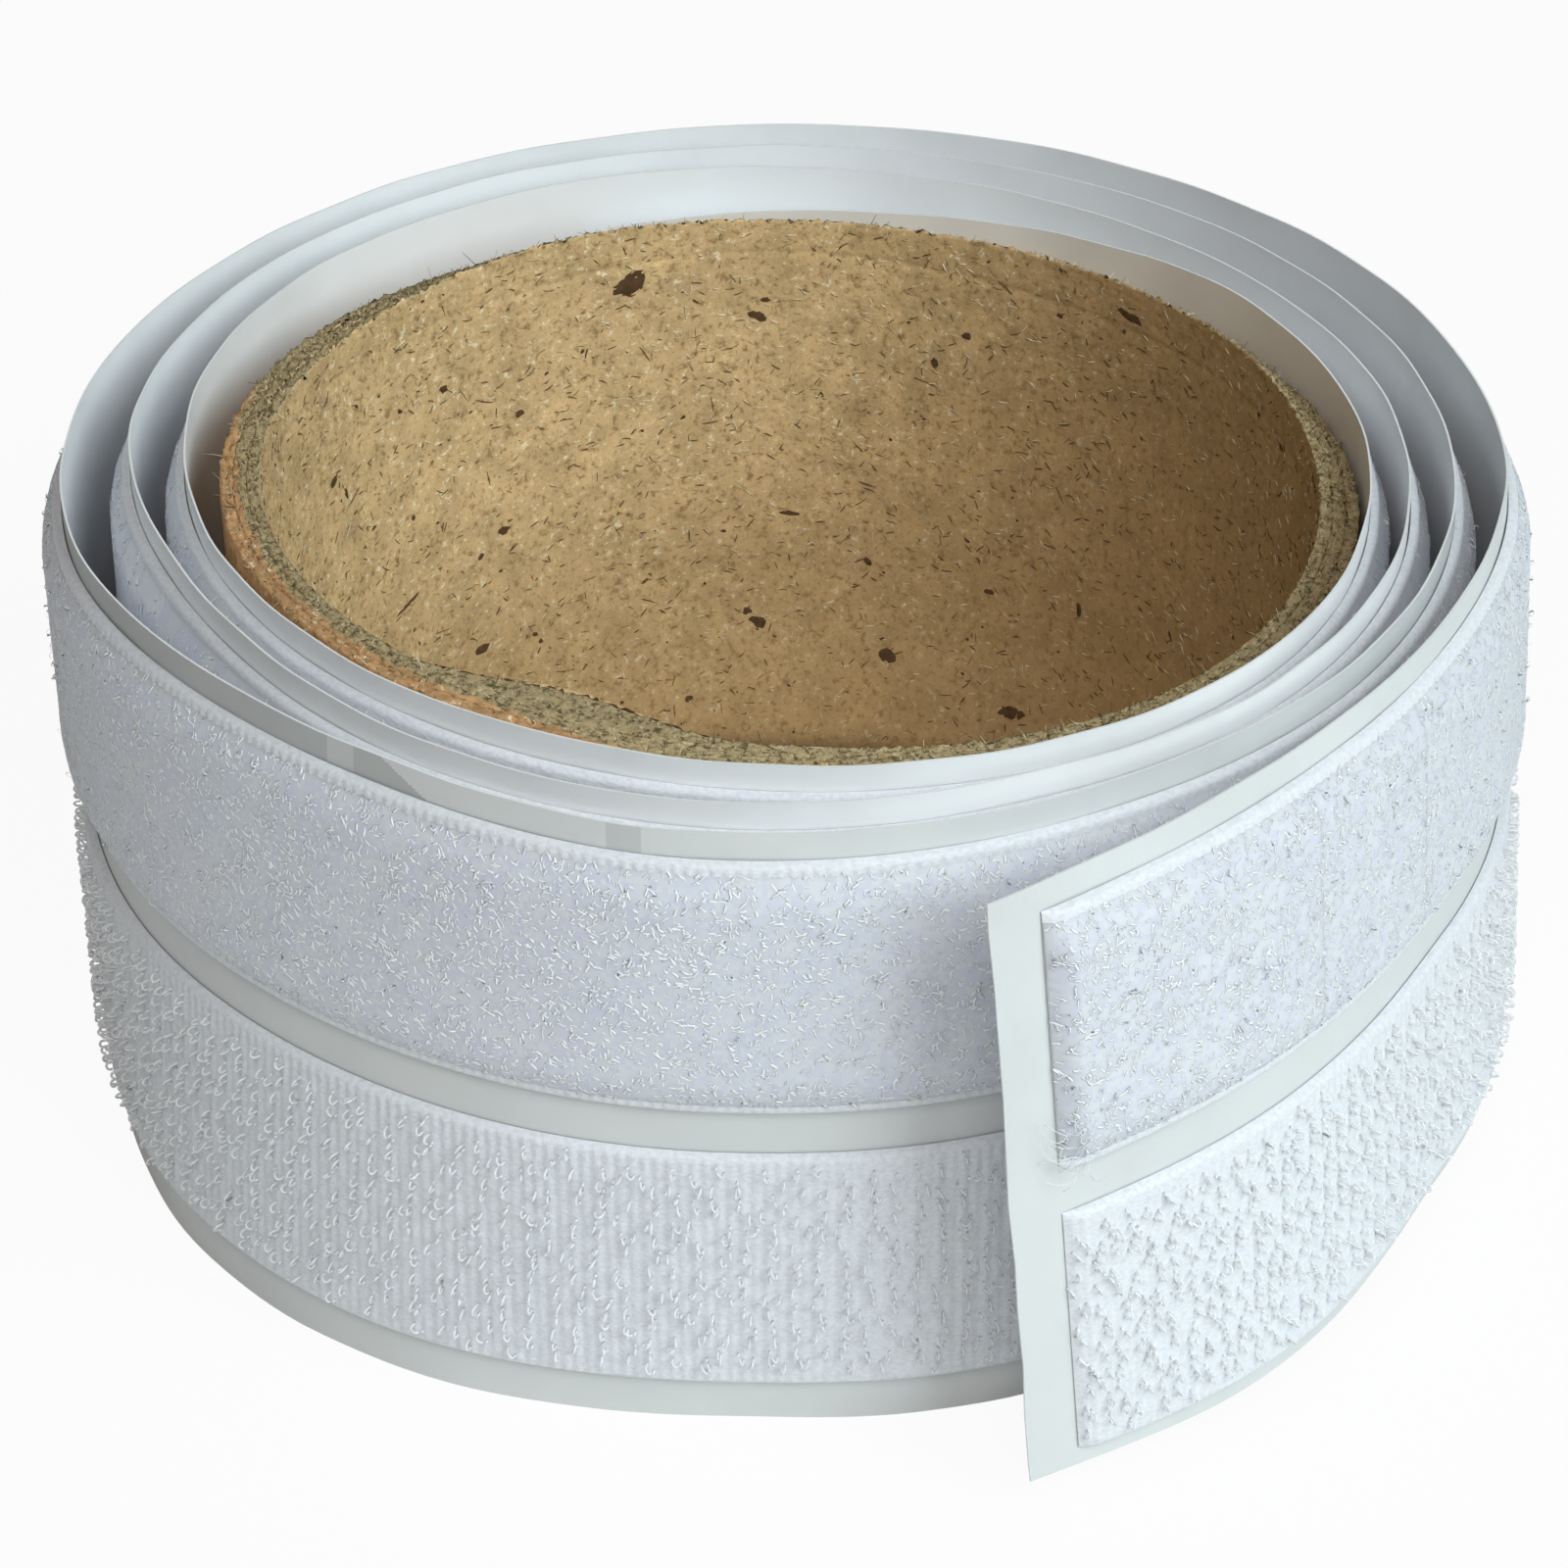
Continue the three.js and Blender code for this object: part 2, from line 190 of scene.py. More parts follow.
class TapeRollColours(bpy.types.PropertyGroup):
    """Colours of the finishes"""

    paper: colour("Liner paper", "Glassine release paper, outside", 0.69, 0.715, 0.715)
    # Partly painted light: the coated inner face is painted far paler than the outer one, for the light
    # that falls on the turns' backs and comes through the paper
    paper_inside: colour("Paper inside", "Coated inner face of the paper", 0.94, 0.96, 0.97)
    glue: colour("Glue film", "Pressure-sensitive film", 0.70, 0.70, 0.64)
    weave: colour("Woven ground", "Nylon ground of both strips", 0.78, 0.81, 0.85)
    # Painted shade: the weave is darkened in the hollows of its bump, between the threads
    weave_painted_shade: colour("Woven shade", "Between the threads", 0.68, 0.71, 0.755)
    loop_bed: colour("Loop bed", "Matted foot of the nylon loops", 0.72, 0.75, 0.795)
    loop: colour("Loop yarn", "Nylon loops", 0.86, 0.9, 0.95)
    # Painted highlight: thick flat loops in this near white, over the darker bed, stand in for light
    # glinting off the nylon filaments
    glint: colour("Loop glint", "Loops that catch the light", 0.955, 0.985, 1.0)
    hook: colour("Hook filament", "Nylon hooks", 0.96, 0.98, 1.0)
    board: colour("Chipboard", "Recycled board", 0.7, 0.495, 0.25)
    # Darker fibre of the board, and also the colour of the painted shade towards the bore's foot and
    # right side
    board_dark_fibre_and_shade: colour("Chipboard shade", "Darker fibre in the board", 0.30, 0.19, 0.08)
    board_outer: colour("Chipboard outside", "Outer face of the core", 0.62, 0.36, 0.17)
    board_edge: colour("Chipboard edge", "Torn fibre on the rim", 0.47, 0.37, 0.2)
    edge_dark: colour("Edge shade", "Dark fibre on the rim", 0.13, 0.1, 0.045)
    # Also the colour of the painted shadow line along the lip's inner edge
    fleck: colour("Bark fleck", "Dark inclusions in the board", 0.12, 0.066, 0.03)
    bark: colour("Bark fibre", "Dark fibres in the board", 0.17, 0.105, 0.045)
    straw: colour("Straw fibre", "Pale fibres in the board", 0.92, 0.82, 0.57)
    # Painted light: the innermost turn's inner face is painted this warm pale, for light that comes
    # through the single paper
    paper_lit_through: colour("Warm paper", "Single paper that light comes through", 0.93, 0.89, 0.83)


def share(value, low, high):
    """Share of the way from low to high, kept between 0 and 1."""
    return np.clip((value - low) / (high - low), 0, 1)


# Places where the loose outer turns bulge or are dented: the middle and the half length of each, in
# turns, and how far it moves the upper and the lower edge out, in millimetres
BULGES = (
    (1.25, 0.15, 0.4, 0.3),
    (1.57, 0.09, 1.0, 0.0),
    (1.73, 0.1, -1.4, 0.0),
    (2.52, 0.05, 0.0, 0.5),
    (2.56, 0.09, 0.8, -0.9),
    (2.67, 0.1, -1.6, 0.9),
    (2.8, 0.1, 0.4, -1.5),
    (3.32, 0.06, 0.4, 0.0),
    (3.36, 0.13, 0.0, 1.7),
    (3.462, 0.075, 0.8, 3.9),
)


def bulging(turns):
    """How far the bulges move the upper and the lower edge out after some turns."""
    upper, lower = 0.0, 0.0
    for middle, reach, at_upper, at_lower in BULGES:
        away = np.clip((turns - middle) / reach, -1, 1)
        here = MM * np.cos(away * math.pi / 2) ** 2
        upper = upper + at_upper * here
        lower = lower + at_lower * here
    return upper, lower


class Winding:
    """The wound band: turns along it, height across it and depth outwards give a point in space."""

    NUDGE = 1e-4
    TABLE_STEPS = 9000
    INNER_DROP = 2.9 * MM  # the inner end is drawn down behind the core's rim
    INNER_ARC = 0.2  # over this share of a turn

    def __init__(self, sizes):
        self.s = sizes
        low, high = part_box("core_inner_ply")
        self.axis = np.array(((low + high) / 2).xy)
        self.core_radius = sizes.core_bore_radius + 3 * sizes.core_ply_thickness + 2 * sizes.core_glue_gap
        self.hook_span = (sizes.bottom_margin, sizes.bottom_margin + sizes.hook_width)
        loop_bottom = self.hook_span[1] + sizes.strip_gap
        self.loop_span = (loop_bottom, loop_bottom + sizes.loop_width)
        self.width = self.loop_span[1] + sizes.top_margin
        self.core_length = self.width - sizes.core_rim_drop
        self.glue_depth = sizes.liner_thickness + sizes.bond_gap
        self.ground_depth = self.glue_depth + sizes.adhesive_thickness + sizes.bond_gap
        self.pile_depth = self.ground_depth + sizes.ground_thickness
        self.thickness = self.pile_depth + sizes.bond_gap + sizes.pile_height
        self.pitch = self.thickness + sizes.turn_slack
        full = 2 * math.pi
        self.turns = sizes.winding_turns
        self.link = sizes.tail_link_arc / full
        self.end = self.turns - sizes.tail_end_arc / full
        self.coil = self.end - 3 * self.link
        self.slant, self.strip_end = 0.0, self.turns
        self.table = np.linspace(-0.05, self.turns + 0.05, self.TABLE_STEPS)
        path = self.plan(self.table, False)
        steps = np.linalg.norm(np.diff(path, axis=0), axis=1)
        self.lengths = np.concatenate([[0], np.cumsum(steps)])
        self.strip_end = self.along(self.turns, -sizes.liner_tab)
        self.slant = self.turns - self.along(self.turns, -sizes.end_slant)
        self.peel = self.along(self.end, sizes.peel_root)

    def along(self, turns, distance):
        """The turns reached from some turns by going a distance along the band."""
        start = np.interp(turns, self.table, self.lengths)
        return np.interp(start + distance, self.lengths, self.table)

    def distance(self, start, stop):
        """Length of the band between two turns."""
        return float(np.diff(np.interp([start, stop], self.table, self.lengths))[0])

    def radius(self, turns):
        """Radius of the liner's inner face, without its flare and its bulges."""
        s = self.s
        angle = s.start_angle - 2 * math.pi * turns
        seat = self.core_radius + s.core_clearance
        radius = seat - s.start_sink + self.pitch * turns
        radius = radius + (s.lean_back + s.lean_back_gain * turns) * np.sin(angle)
        radius = radius - (s.lean_left + s.lean_left_gain * turns) * np.cos(angle)
        radius = radius + (s.oval_diagonal + s.oval_diagonal_gain * turns) * np.sin(2 * angle)
        radius = radius + s.oval_width * np.cos(2 * angle)
        resting = seat + s.seat_softness * np.log1p(np.exp((radius - seat) / s.seat_softness))
        lifted = share(turns, self.turns - s.tail_lift_arc / (2 * math.pi), self.turns)
        return resting + s.tail_lift * lifted**2

    def plan(self, turns, flared):
        """Point of the liner's inner face, seen from above, at its upper or flared lower edge."""
        s = self.s
        angle = s.start_angle - 2 * math.pi * turns
        upper, lower = bulging(turns)
        radius = self.radius(turns) + (lower if flared else upper)
        if flared:
            radius = radius + s.tail_flare * share(turns, self.turns - s.flare_turns, self.turns)
        return np.stack([radius * np.cos(angle), radius * np.sin(angle)], axis=-1)

    def offset(self, turns, flared, depth):
        """Point of the plan, moved outwards by a depth."""
        ahead = self.plan(turns + self.NUDGE, flared)
        behind = self.plan(turns - self.NUDGE, flared)
        step = ahead - behind
        outward = np.stack([-step[..., 1], step[..., 0]], axis=-1)
        outward = outward / np.linalg.norm(outward, axis=-1, keepdims=True)
        return self.plan(turns, flared) + outward * depth[..., None]

    def points(self, turns, height, depth):
        """Points of the band for arrays of turns, heights and depths."""
        turns, height, depth = np.broadcast_arrays(turns, height, depth)
        slanted = turns - self.slant * share(turns, self.end, self.strip_end)
        low = self.offset(slanted, True, depth)
        high = self.offset(turns, False, depth)
        at = low + (high - low) * (height / self.width)[..., None] + self.axis
        drawn = 1 - self.INNER_DROP / self.width * (1 - share(turns, 0, self.INNER_ARC))
        return np.concatenate([at, (height * drawn)[..., None]], axis=-1)


class Stretch:
    """A stretch of the band that rides on one body, or lies between two across a hinge line."""

    BESIDE = 1e-3

    def __init__(self, name, nodes, start, stop, bodies, hinge=None, before=0.0, after=0.0):
        self.name, self.nodes = name, nodes
        self.start, self.stop = start, stop
        self.bodies, self.hinge = bodies, hinge
        self.before, self.after = before, after

    def hold(self, piece, winding):
        """Lets a piece of this stretch follow its body; a piece across a hinge line only has its place
        baked in.
        """
        if self.hinge is None:
            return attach(piece, self.bodies[0])
        heights = np.array([0, winding.width / 2, winding.width])
        low, middle, high = winding.points(self.hinge, heights, winding.thickness)
        axis = (high - low) / np.linalg.norm(high - low)
        step = self.BESIDE * np.array([-1, 1])
        behind, ahead = winding.points(self.hinge + step, winding.width / 2, winding.thickness)
        way = ahead - behind
        way = way - axis * (way @ axis)
        way = way / np.linalg.norm(way)
        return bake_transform(piece)


BEND_LEAD = 9 * MM
BEND_REACH = 7 * MM
ROOT_REACH = 2.2 * MM
PEEL_REACH = 5 * MM


def shared_stretches(winding):
    """The stretches that the liner and both strips have alike, up to the third link."""
    w = winding
    bodies = ["wound_coil", "tail_link_1", "tail_link_2", "tail_link_3"]
    cut = w.along(w.coil, -BEND_LEAD)
    made = [Stretch("coil", "coil", 0.0, cut, bodies[:1])]
    for link in range(3):
        hinge = w.coil + link * w.link
        stop = hinge + w.link / 2
        pair = bodies[link : link + 2]
        name = f"link_{link + 1}"
        nodes = f"tail_{link + 1}"
        made.append(Stretch(name, nodes, cut, stop, pair, hinge, BEND_REACH, BEND_REACH))
        cut = stop
    return made, cut


def liner_stretches(winding):
    """The liner's stretches: its end link is one piece with the bare tab."""
    made, cut = shared_stretches(winding)
    root = winding.along(winding.end, winding.s.peel_root / 2)
    pair = ["tail_link_3", "tail_end"]
    made.append(Stretch("link_4", None, cut, root, pair, winding.end, BEND_REACH, ROOT_REACH))
    made.append(Stretch("end", "end", root, winding.turns, ["tail_end"]))
    return made


def strip_stretches(winding, strip):
    """A strip's stretches: past its short root on the end link it is a flap that peels off."""
    made, cut = shared_stretches(winding)
    root = winding.along(winding.end, winding.s.peel_root / 2)
    pair = ["tail_link_3", "tail_end"]
    made.append(Stretch("root", "end", cut, root, pair, winding.end, BEND_REACH, ROOT_REACH))
    pair, stop = ["tail_end", f"{strip}_flap"], winding.strip_end
    made.append(Stretch("flap", "flap", root, stop, pair, winding.peel, ROOT_REACH, PEEL_REACH))
    return made


class Shape:
    """Collects points and faces, and makes a mesh object of them."""

    def __init__(self):
        self.points, self.faces, self.count = [], [], 0

    def add(self, points, faces, smooth=True, material=0):
        """Adds points and one or more arrays of faces that count from these points."""
        self.points.append(points.reshape(-1, 3))
        self.count += self.points[-1].shape[0]
        self.again(faces, smooth, material)

    def again(self, faces, smooth=True, material=0):
        """Adds faces that count from the points of the last add."""
        first = self.count - self.points[-1].shape[0]
        for corners in faces:
            slots = np.broadcast_to(np.ravel(material), len(corners))
            self.faces.append((corners + first, smooth, slots))

    def build(self, name, *materials):
        """The mesh object, linked to the scene."""
        mesh = bpy.data.meshes.new(name)
        points = np.concatenate(self.points)
        sizes = np.concatenate([np.full(len(f), f.shape[1]) for f, _, _ in self.faces])
        corners = np.concatenate([f.ravel() for f, _, _ in self.faces])
        mesh.vertices.add(len(points))
        mesh.vertices.foreach_set("co", points.astype(np.float32).ravel())
        mesh.loops.add(len(corners))
        mesh.loops.foreach_set("vertex_index", corners.astype(np.int32))
        mesh.polygons.add(len(sizes))
        starts = np.concatenate([[0], np.cumsum(sizes)[:-1]])
        mesh.polygons.foreach_set("loop_start", starts.astype(np.int32))
        slots = np.concatenate([s for _, _, s in self.faces])
        mesh.polygons.foreach_set("material_index", slots.astype(np.int32))
        smooth = np.concatenate([np.full(len(f), on) for f, on, _ in self.faces])
        mesh.update(calc_edges=True)
        mesh.polygons.foreach_set("use_smooth", smooth)
        for material in materials:
            mesh.materials.append(material)
        piece = bpy.data.objects.new(name, mesh)
        bpy.context.scene.collection.objects.link(piece)
        return piece


def grid_faces(index):
    """Quads between neighbours of a grid of point numbers."""
    corners = [index[:-1, :-1], index[:-1, 1:], index[1:, 1:], index[1:, :-1]]
    return np.stack(corners, axis=-1).reshape(-1, 4)


def band_shape(winding, turns, heights, inner, outer, slots=0, back_slots=0, edge_slot=0):
    """Closed band: a grid over its outer face, one over its inner face, and the four edges between.

    turns runs along the band and heights across it, as grids. inner and outer are depths.
    slots and back_slots are the materials of the outer and the inner face's quads, and edge_slot that
    of the edges, which have points of their own, so that they stay sharp.
    """
    shape = Shape()
    rows, columns = heights.shape
    faces_out = winding.points(turns, heights, np.broadcast_to(outer, heights.shape))
    faces_in = winding.points(turns, heights, np.broadcast_to(inner, heights.shape))
    points = np.concatenate([faces_out.reshape(-1, 3), faces_in.reshape(-1, 3)])
    out = np.arange(rows * columns).reshape(rows, columns)
    back = out + rows * columns
    shape.add(points, [grid_faces(out)], True, slots)
    shape.again([grid_faces(back)[:, ::-1]], True, back_slots)
    top = np.stack([back[:-1, -1], back[1:, -1], out[1:, -1], out[:-1, -1]], axis=1)
    bottom = np.stack([out[:-1, 0], out[1:, 0], back[1:, 0], back[:-1, 0]], axis=1)
    first = np.stack([back[0, :-1], back[0, 1:], out[0, 1:], out[0, :-1]], axis=1)
    last = np.stack([out[-1, :-1], out[-1, 1:], back[-1, 1:], back[-1, :-1]], axis=1)
    for faces in (top, bottom, first, last):
        used, corners = np.unique(faces, return_inverse=True)
        shape.add(points[used], [corners.reshape(faces.shape)], False, edge_slot)
    return shape


def tube_faces(count, rings, sides):
    """Quads around many tubes with the same rings and sides, and the polygons that close them."""
    index = np.arange(count * rings * sides).reshape(count, rings, sides)
    turned = np.roll(index, -1, axis=2)
    corners = [index[:, :-1], turned[:, :-1], turned[:, 1:], index[:, 1:]]
    walls = np.stack(corners, axis=-1).reshape(-1, 4)
    return walls, index[:, 0, ::-1].copy(), index[:, -1].copy()


def tube_points(paths, across, radius, sides, flat):
    """Rings of points around many paths. across is one direction for each, never along its path."""
    way = np.gradient(paths, axis=1)
    way = way / np.linalg.norm(way, axis=2, keepdims=True)
    side = across[:, None, :] - way * np.sum(way * across[:, None, :], axis=2, keepdims=True)
    side = side / np.linalg.norm(side, axis=2, keepdims=True)
    other = np.cross(way, side)
    angle = np.arange(sides) * 2 * math.pi / sides - math.pi / 2
    ring = side[:, :, None] * np.cos(angle)[:, None]
    ring = ring + flat * other[:, :, None] * np.sin(angle)[:, None]
    return paths[:, :, None] + ring * np.broadcast_to(radius, paths.shape[:2])[:, :, None, None]


def add_tubes(shape, paths, across, radius, sides, material=0, flat=1.0):
    """Adds closed tubes along many paths; material is one slot, or one for each path.

    flat is the tubes' height as a share of their breadth, which lies along across.
    """
    count, rings = paths.shape[:2]
    walls, first, last = tube_faces(count, rings, sides)
    slots = np.broadcast_to(np.asarray(material), count)
    points = tube_points(paths, across, radius, sides, flat)
    shape.add(points, [walls], True, np.repeat(slots, (rings - 1) * sides))
    shape.again([first, last], False, slots)


def draws(pile, number_of_piece):
    """Random numbers of one piece, the same in every run."""
    return np.random.default_rng([pile.seed, number_of_piece])


def ripple(values, waves, seed):
    """Smooth uneven waves, about -1 to 1, from a few sines with fixed random phases."""
    rng = np.random.default_rng(seed)
    total = np.zeros_like(values)
    for wave in waves:
        total = total + np.sin(values * wave * rng.uniform(0.85, 1.15) + rng.uniform(0, 6.28))
    return total / len(waves)


# Finishes


def finish_of(name, roughness, specular=0.5):
    """A new node material: its tree and its shader, with the sockets that don't vary set."""
    material = bpy.data.materials.new(name)
    material.use_nodes = True
    shader = material.node_tree.nodes["Principled BSDF"]
    shader.inputs["Roughness"].default_value = roughness
    shader.inputs["Specular IOR Level"].default_value = specular
    return material, material.node_tree, shader


def place_node(tree, stretch=(1, 1, 1)):
    """Object coordinates, stretched along each axis."""
    where = tree.nodes.new("ShaderNodeTexCoord")
    mapping = tree.nodes.new("ShaderNodeMapping")
    mapping.inputs["Scale"].default_value = stretch
    tree.links.new(where.outputs["Object"], mapping.inputs["Vector"])
    return mapping.outputs["Vector"]


def share_node(tree, axis):
    """Place along an axis as a share of the roll's reach from the origin along it."""
    parts = tree.nodes.new("ShaderNodeSeparateXYZ")
    tree.links.new(place_node(tree, tuple(1 / high for high in CAD_BOX[1])), parts.inputs[0])
    return parts.outputs[axis]


def noise_node(tree, place, scale, detail=3.0, roughness=0.55):
    """Noise at a scale in waves per metre."""
    node = tree.nodes.new("ShaderNodeTexNoise")
    node.inputs["Scale"].default_value = scale
    node.inputs["Detail"].default_value = detail
    node.inputs["Roughness"].default_value = roughness
    tree.links.new(place, node.inputs["Vector"])
    return node.outputs["Fac"]


def spot_node(tree, place, scale, low, high):
    """Scattered spots: 1 in the middle of some cells, 0 elsewhere."""
    node = tree.nodes.new("ShaderNodeTexVoronoi")
    node.inputs["Scale"].default_value = scale
    tree.links.new(place, node.inputs["Vector"])
    return ramp_node(tree, node.outputs["Distance"], (1, 1, 1), (0, 0, 0), low, high)


def ramp_node(tree, value, first, second, low=0.3, high=0.7):
    """A colour ramp between two colours."""
    ramp = tree.nodes.new("ShaderNodeValToRGB")
    ramp.color_ramp.elements[0].position = low
    ramp.color_ramp.elements[0].color = (*first, 1)
    ramp.color_ramp.elements[1].position = high
    ramp.color_ramp.elements[1].color = (*second, 1)
    tree.links.new(value, ramp.inputs["Fac"])
    return ramp.outputs["Color"]


def mix_node(tree, amount, first, second):
    """A mix of two colours by an amount. The amount is a socket; a colour may be one or be plain."""
    node = tree.nodes.new("ShaderNodeMix")
    node.data_type = "RGBA"
    for number_of_input, value in ((0, amount), (6, first), (7, second)):
        socket = node.inputs[number_of_input]
        if isinstance(value, bpy.types.NodeSocket):
            tree.links.new(value, socket)
        else:
            socket.default_value = (*value, 1)
    return node.outputs[2]


def bump(tree, shader, height, strength, distance):
    """A bump from a height socket."""
    node = tree.nodes.new("ShaderNodeBump")
    node.inputs["Strength"].default_value = strength
    node.inputs["Distance"].default_value = distance
    tree.links.new(height, node.inputs["Height"])
    tree.links.new(node.outputs["Normal"], shader.inputs["Normal"])


def paper_finish(name, base, level=1.0):
    """Glassine paper: cloudy and faintly glossy. A level below 1 gives a copy in painted shade, for where
    nothing pale backs the paper.
    """
    material, tree, shader = finish_of(name, 0.5)
    place = place_node(tree)
    clouds = noise_node(tree, place, 90, 4)
    pale = tuple(level * c for c in base)
    tint = ramp_node(tree, clouds, tuple(0.92 * c for c in pale), pale, 0.25, 0.6)
    tree.links.new(tint, shader.inputs["Base Color"])
    fine = noise_node(tree, place, 1400, 2)
    gloss = ramp_node(tree, fine, (0.42,) * 3, (0.58,) * 3)
    tree.links.new(gloss, shader.inputs["Roughness"])
    bump(tree, shader, fine, 0.12, 0.05 * MM)
    return material


def glue_finish(colours):
    """Glue film: smooth, slightly yellowish, with small pale bubbles."""
    material, tree, shader = finish_of("glue_film", 0.28)
    place = place_node(tree)
    bubbles = spot_node(tree, place, 900, 0.12, 0.3)
    pale = tuple(0.5 + 0.5 * c for c in colours.glue)
    tree.links.new(mix_node(tree, bubbles, tuple(colours.glue), pale), shader.inputs["Base Color"])
    bump(tree, shader, bubbles, 0.2, 0.05 * MM)
    return material


def weave_finish(colours, name):
    """Woven nylon: fine threads, with painted shade in the hollows between them, and a soft sheen."""
    material, tree, shader = finish_of(name, 0.62)
    place = place_node(tree, (1, 1, 1.7))
    threads = noise_node(tree, place, 2600, 2)
    # Painted shade: darker where the bump is low, between the threads
    tint = ramp_node(tree, threads, tuple(colours.weave_painted_shade), tuple(colours.weave), 0.3, 0.6)
    tree.links.new(tint, shader.inputs["Base Color"])
    shader.inputs["Sheen Weight"].default_value = 0.15
    bump(tree, shader, threads, 0.5, 0.12 * MM)
    return material


YARN_GLOW = 0.8 * MM
YARN_SPREAD = 0.035
YARN_ROUGHER = 0.06


def yarn_finish(name, tint, roughness, coat, depth):
    """One shade of clear nylon filament, with the share of its light that goes through it."""
    material, _, shader = finish_of(name, roughness)
    shader.inputs["Base Color"].default_value = (*tint, 1)
    shader.inputs["Coat Weight"].default_value = coat
    shader.inputs["Coat Roughness"].default_value = 0.2
    shader.inputs["Subsurface Weight"].default_value = depth
    shader.inputs["Subsurface Radius"].default_value = (1, 1, 1)
    shader.inputs["Subsurface Scale"].default_value = YARN_GLOW
    return material


def yarn_finishes(name, tint, roughness, count, coat, depth):
    """Several shades of one filament, so that neighbours differ a little."""
    made = []
    for shade in range(count):
        dim = 1 - YARN_SPREAD * shade
        shaded = (tint[0] * dim, tint[1] * dim, tint[2])
        rough = roughness + YARN_ROUGHER * shade
        made.append(yarn_finish(f"{name}_{shade + 1}", shaded, rough, coat, depth))
    return made


def board_finish(colours, name, base):
    """Recycled chipboard: mottled pulp with fibres and grains, with painted shade towards its foot and
    towards +X, the bore's right side.
    """
    material, tree, shader = finish_of(name, 0.92, 0.25)
    place = place_node(tree)
    none = (0, 0, 0)
    dark, straw = tuple(colours.board_dark_fibre_and_shade), tuple(colours.straw)
    dim, bright = tuple(0.7 * c for c in base), tuple(1.14 * c for c in base)
    tint = ramp_node(tree, noise_node(tree, place, 300, 6, 0.7), dim, bright, 0.3, 0.68)
    pulp = noise_node(tree, place, 1500, 3, 0.65)
    grit = noise_node(tree, place, 3600, 2, 0.6)
    for value, first, second, low, high, shade in (
        (pulp, (0.85,) * 3, none, 0.32, 0.46, dark),
        (pulp, none, (0.8,) * 3, 0.6, 0.68, straw),
        (grit, none, (0.55,) * 3, 0.58, 0.7, dark),
        # Painted shade: darker towards the foot, deep in the bore, and towards +X, the bore's right side
        (share_node(tree, "Z"), (0.5,) * 3, none, 0.0, 0.55, dark),
        (share_node(tree, "X"), none, (0.62,) * 3, 0.05, 0.6, dark),
    ):
        tint = mix_node(tree, ramp_node(tree, value, first, second, low, high), tint, shade)
    tree.links.new(tint, shader.inputs["Base Color"])
    bump(tree, shader, pulp, 0.5, 0.12 * MM)
    return material


def edge_finish(colours, name):
    """Torn edge of the board: speckled from dark olive to straw."""
    material, tree, shader = finish_of(name, 0.95, 0.2)
    place = place_node(tree)
    specks = noise_node(tree, place, 1900, 3, 0.7)
    tint = ramp_node(tree, specks, tuple(colours.edge_dark), tuple(colours.board_edge), 0.36, 0.52)
    pale = noise_node(tree, place_node(tree, (1.3, 1.3, 1.3)), 2100, 2, 0.6)
    pale = ramp_node(tree, pale, (0, 0, 0), (0.35,) * 3, 0.58, 0.66)
    tint = mix_node(tree, pale, tint, tuple(colours.straw))
    tree.links.new(tint, shader.inputs["Base Color"])
    bump(tree, shader, specks, 0.7, 0.2 * MM)
    return material


def plain_board_finish(name, tint, roughness=0.9):
    """Fibres and flecks of the board, and the painted shadow line along the lip: uneven in tone along
    their length.
    """
    material, tree, shader = finish_of(name, roughness, 0.2)
    uneven = noise_node(tree, place_node(tree), 1500, 2)
    dim = tuple(0.6 * c for c in tint)
    tree.links.new(ramp_node(tree, uneven, dim, tuple(tint), 0.3, 0.65), shader.inputs["Base Color"])
    return material


# Core

CORE_STEPS = 720
RIM_ROUGHNESS = 0.1 * MM
RIM_SHARES = (0.03, 0.09, 0.26, 0.44, 0.62, 0.8, 0.96)
BORE_ROUGHNESS = 0.03 * MM
CRUSH_DEPTH = 3.4 * MM
CRUSH_WIDTH = 0.3 * MM
CRUSH_GROOVE = 0.1 * MM
LIP_ANGLE = math.radians(246.5)
LIP_REACH = math.radians(20)
LIP_SIZE = 3.1 * MM
LIP_DEPTH = 9 * MM
# Where the lip leans in further than this share of its size, the rim's inner strip is painted as a dark
# shadow line
LIP_LINE = 0.12
LIP_DROP = 0.12
LIP_TOP = 0.2 * MM
BORE_RINGS = 24
LIP_RINGS = 44
OUTSIDE_DROPS = (0.25, 0.6, 1.2, 2.4, 5, 12)
CHAMFER_HEIGHT, CHAMFER_DEPTH = 0.4 * MM, 0.3 * MM
BEVEL_ANGLE = math.radians(70)
BEVEL_REACH = math.radians(100)
BEVEL_SPREAD = 1.8
BEVEL_RISE = 1.55 * MM
BEVEL_DROP = 0.9 * MM
DIP_ANGLE = math.radians(-48)
DIP_REACH = math.radians(66)
DIP_SIZE = 1.3 * MM
FOOT_ANGLE = math.radians(86)
FOOT_REACH = math.radians(62)
FOOT_SIZE = 5.4 * MM
FOOT_HEIGHT = 15 * MM
WORN_ANGLE = math.radians(212)
WORN_REACH = math.radians(62)
WORN_SPREAD = 1.7
WORN_SHARE = 0.62
WORN_UNEVEN = 0.06
UNWORN = 1.1
BOARD, EDGE, OUTSIDE, PAINTED_SHADOW = 0, 1, 2, 3


def hump(angle, middle, reach):
    """A smooth hump around a direction: 1 in its middle, 0 past its reach."""
    away = (angle - middle + math.pi) % (2 * math.pi) - math.pi
    return np.cos(np.clip(away / reach, -1, 1) * math.pi / 2) ** 2


def lip_size(angle):
    """How far the crushed inner ply leans into the bore at the rim, towards the front left."""
    return LIP_SIZE * hump(angle, LIP_ANGLE, LIP_REACH)


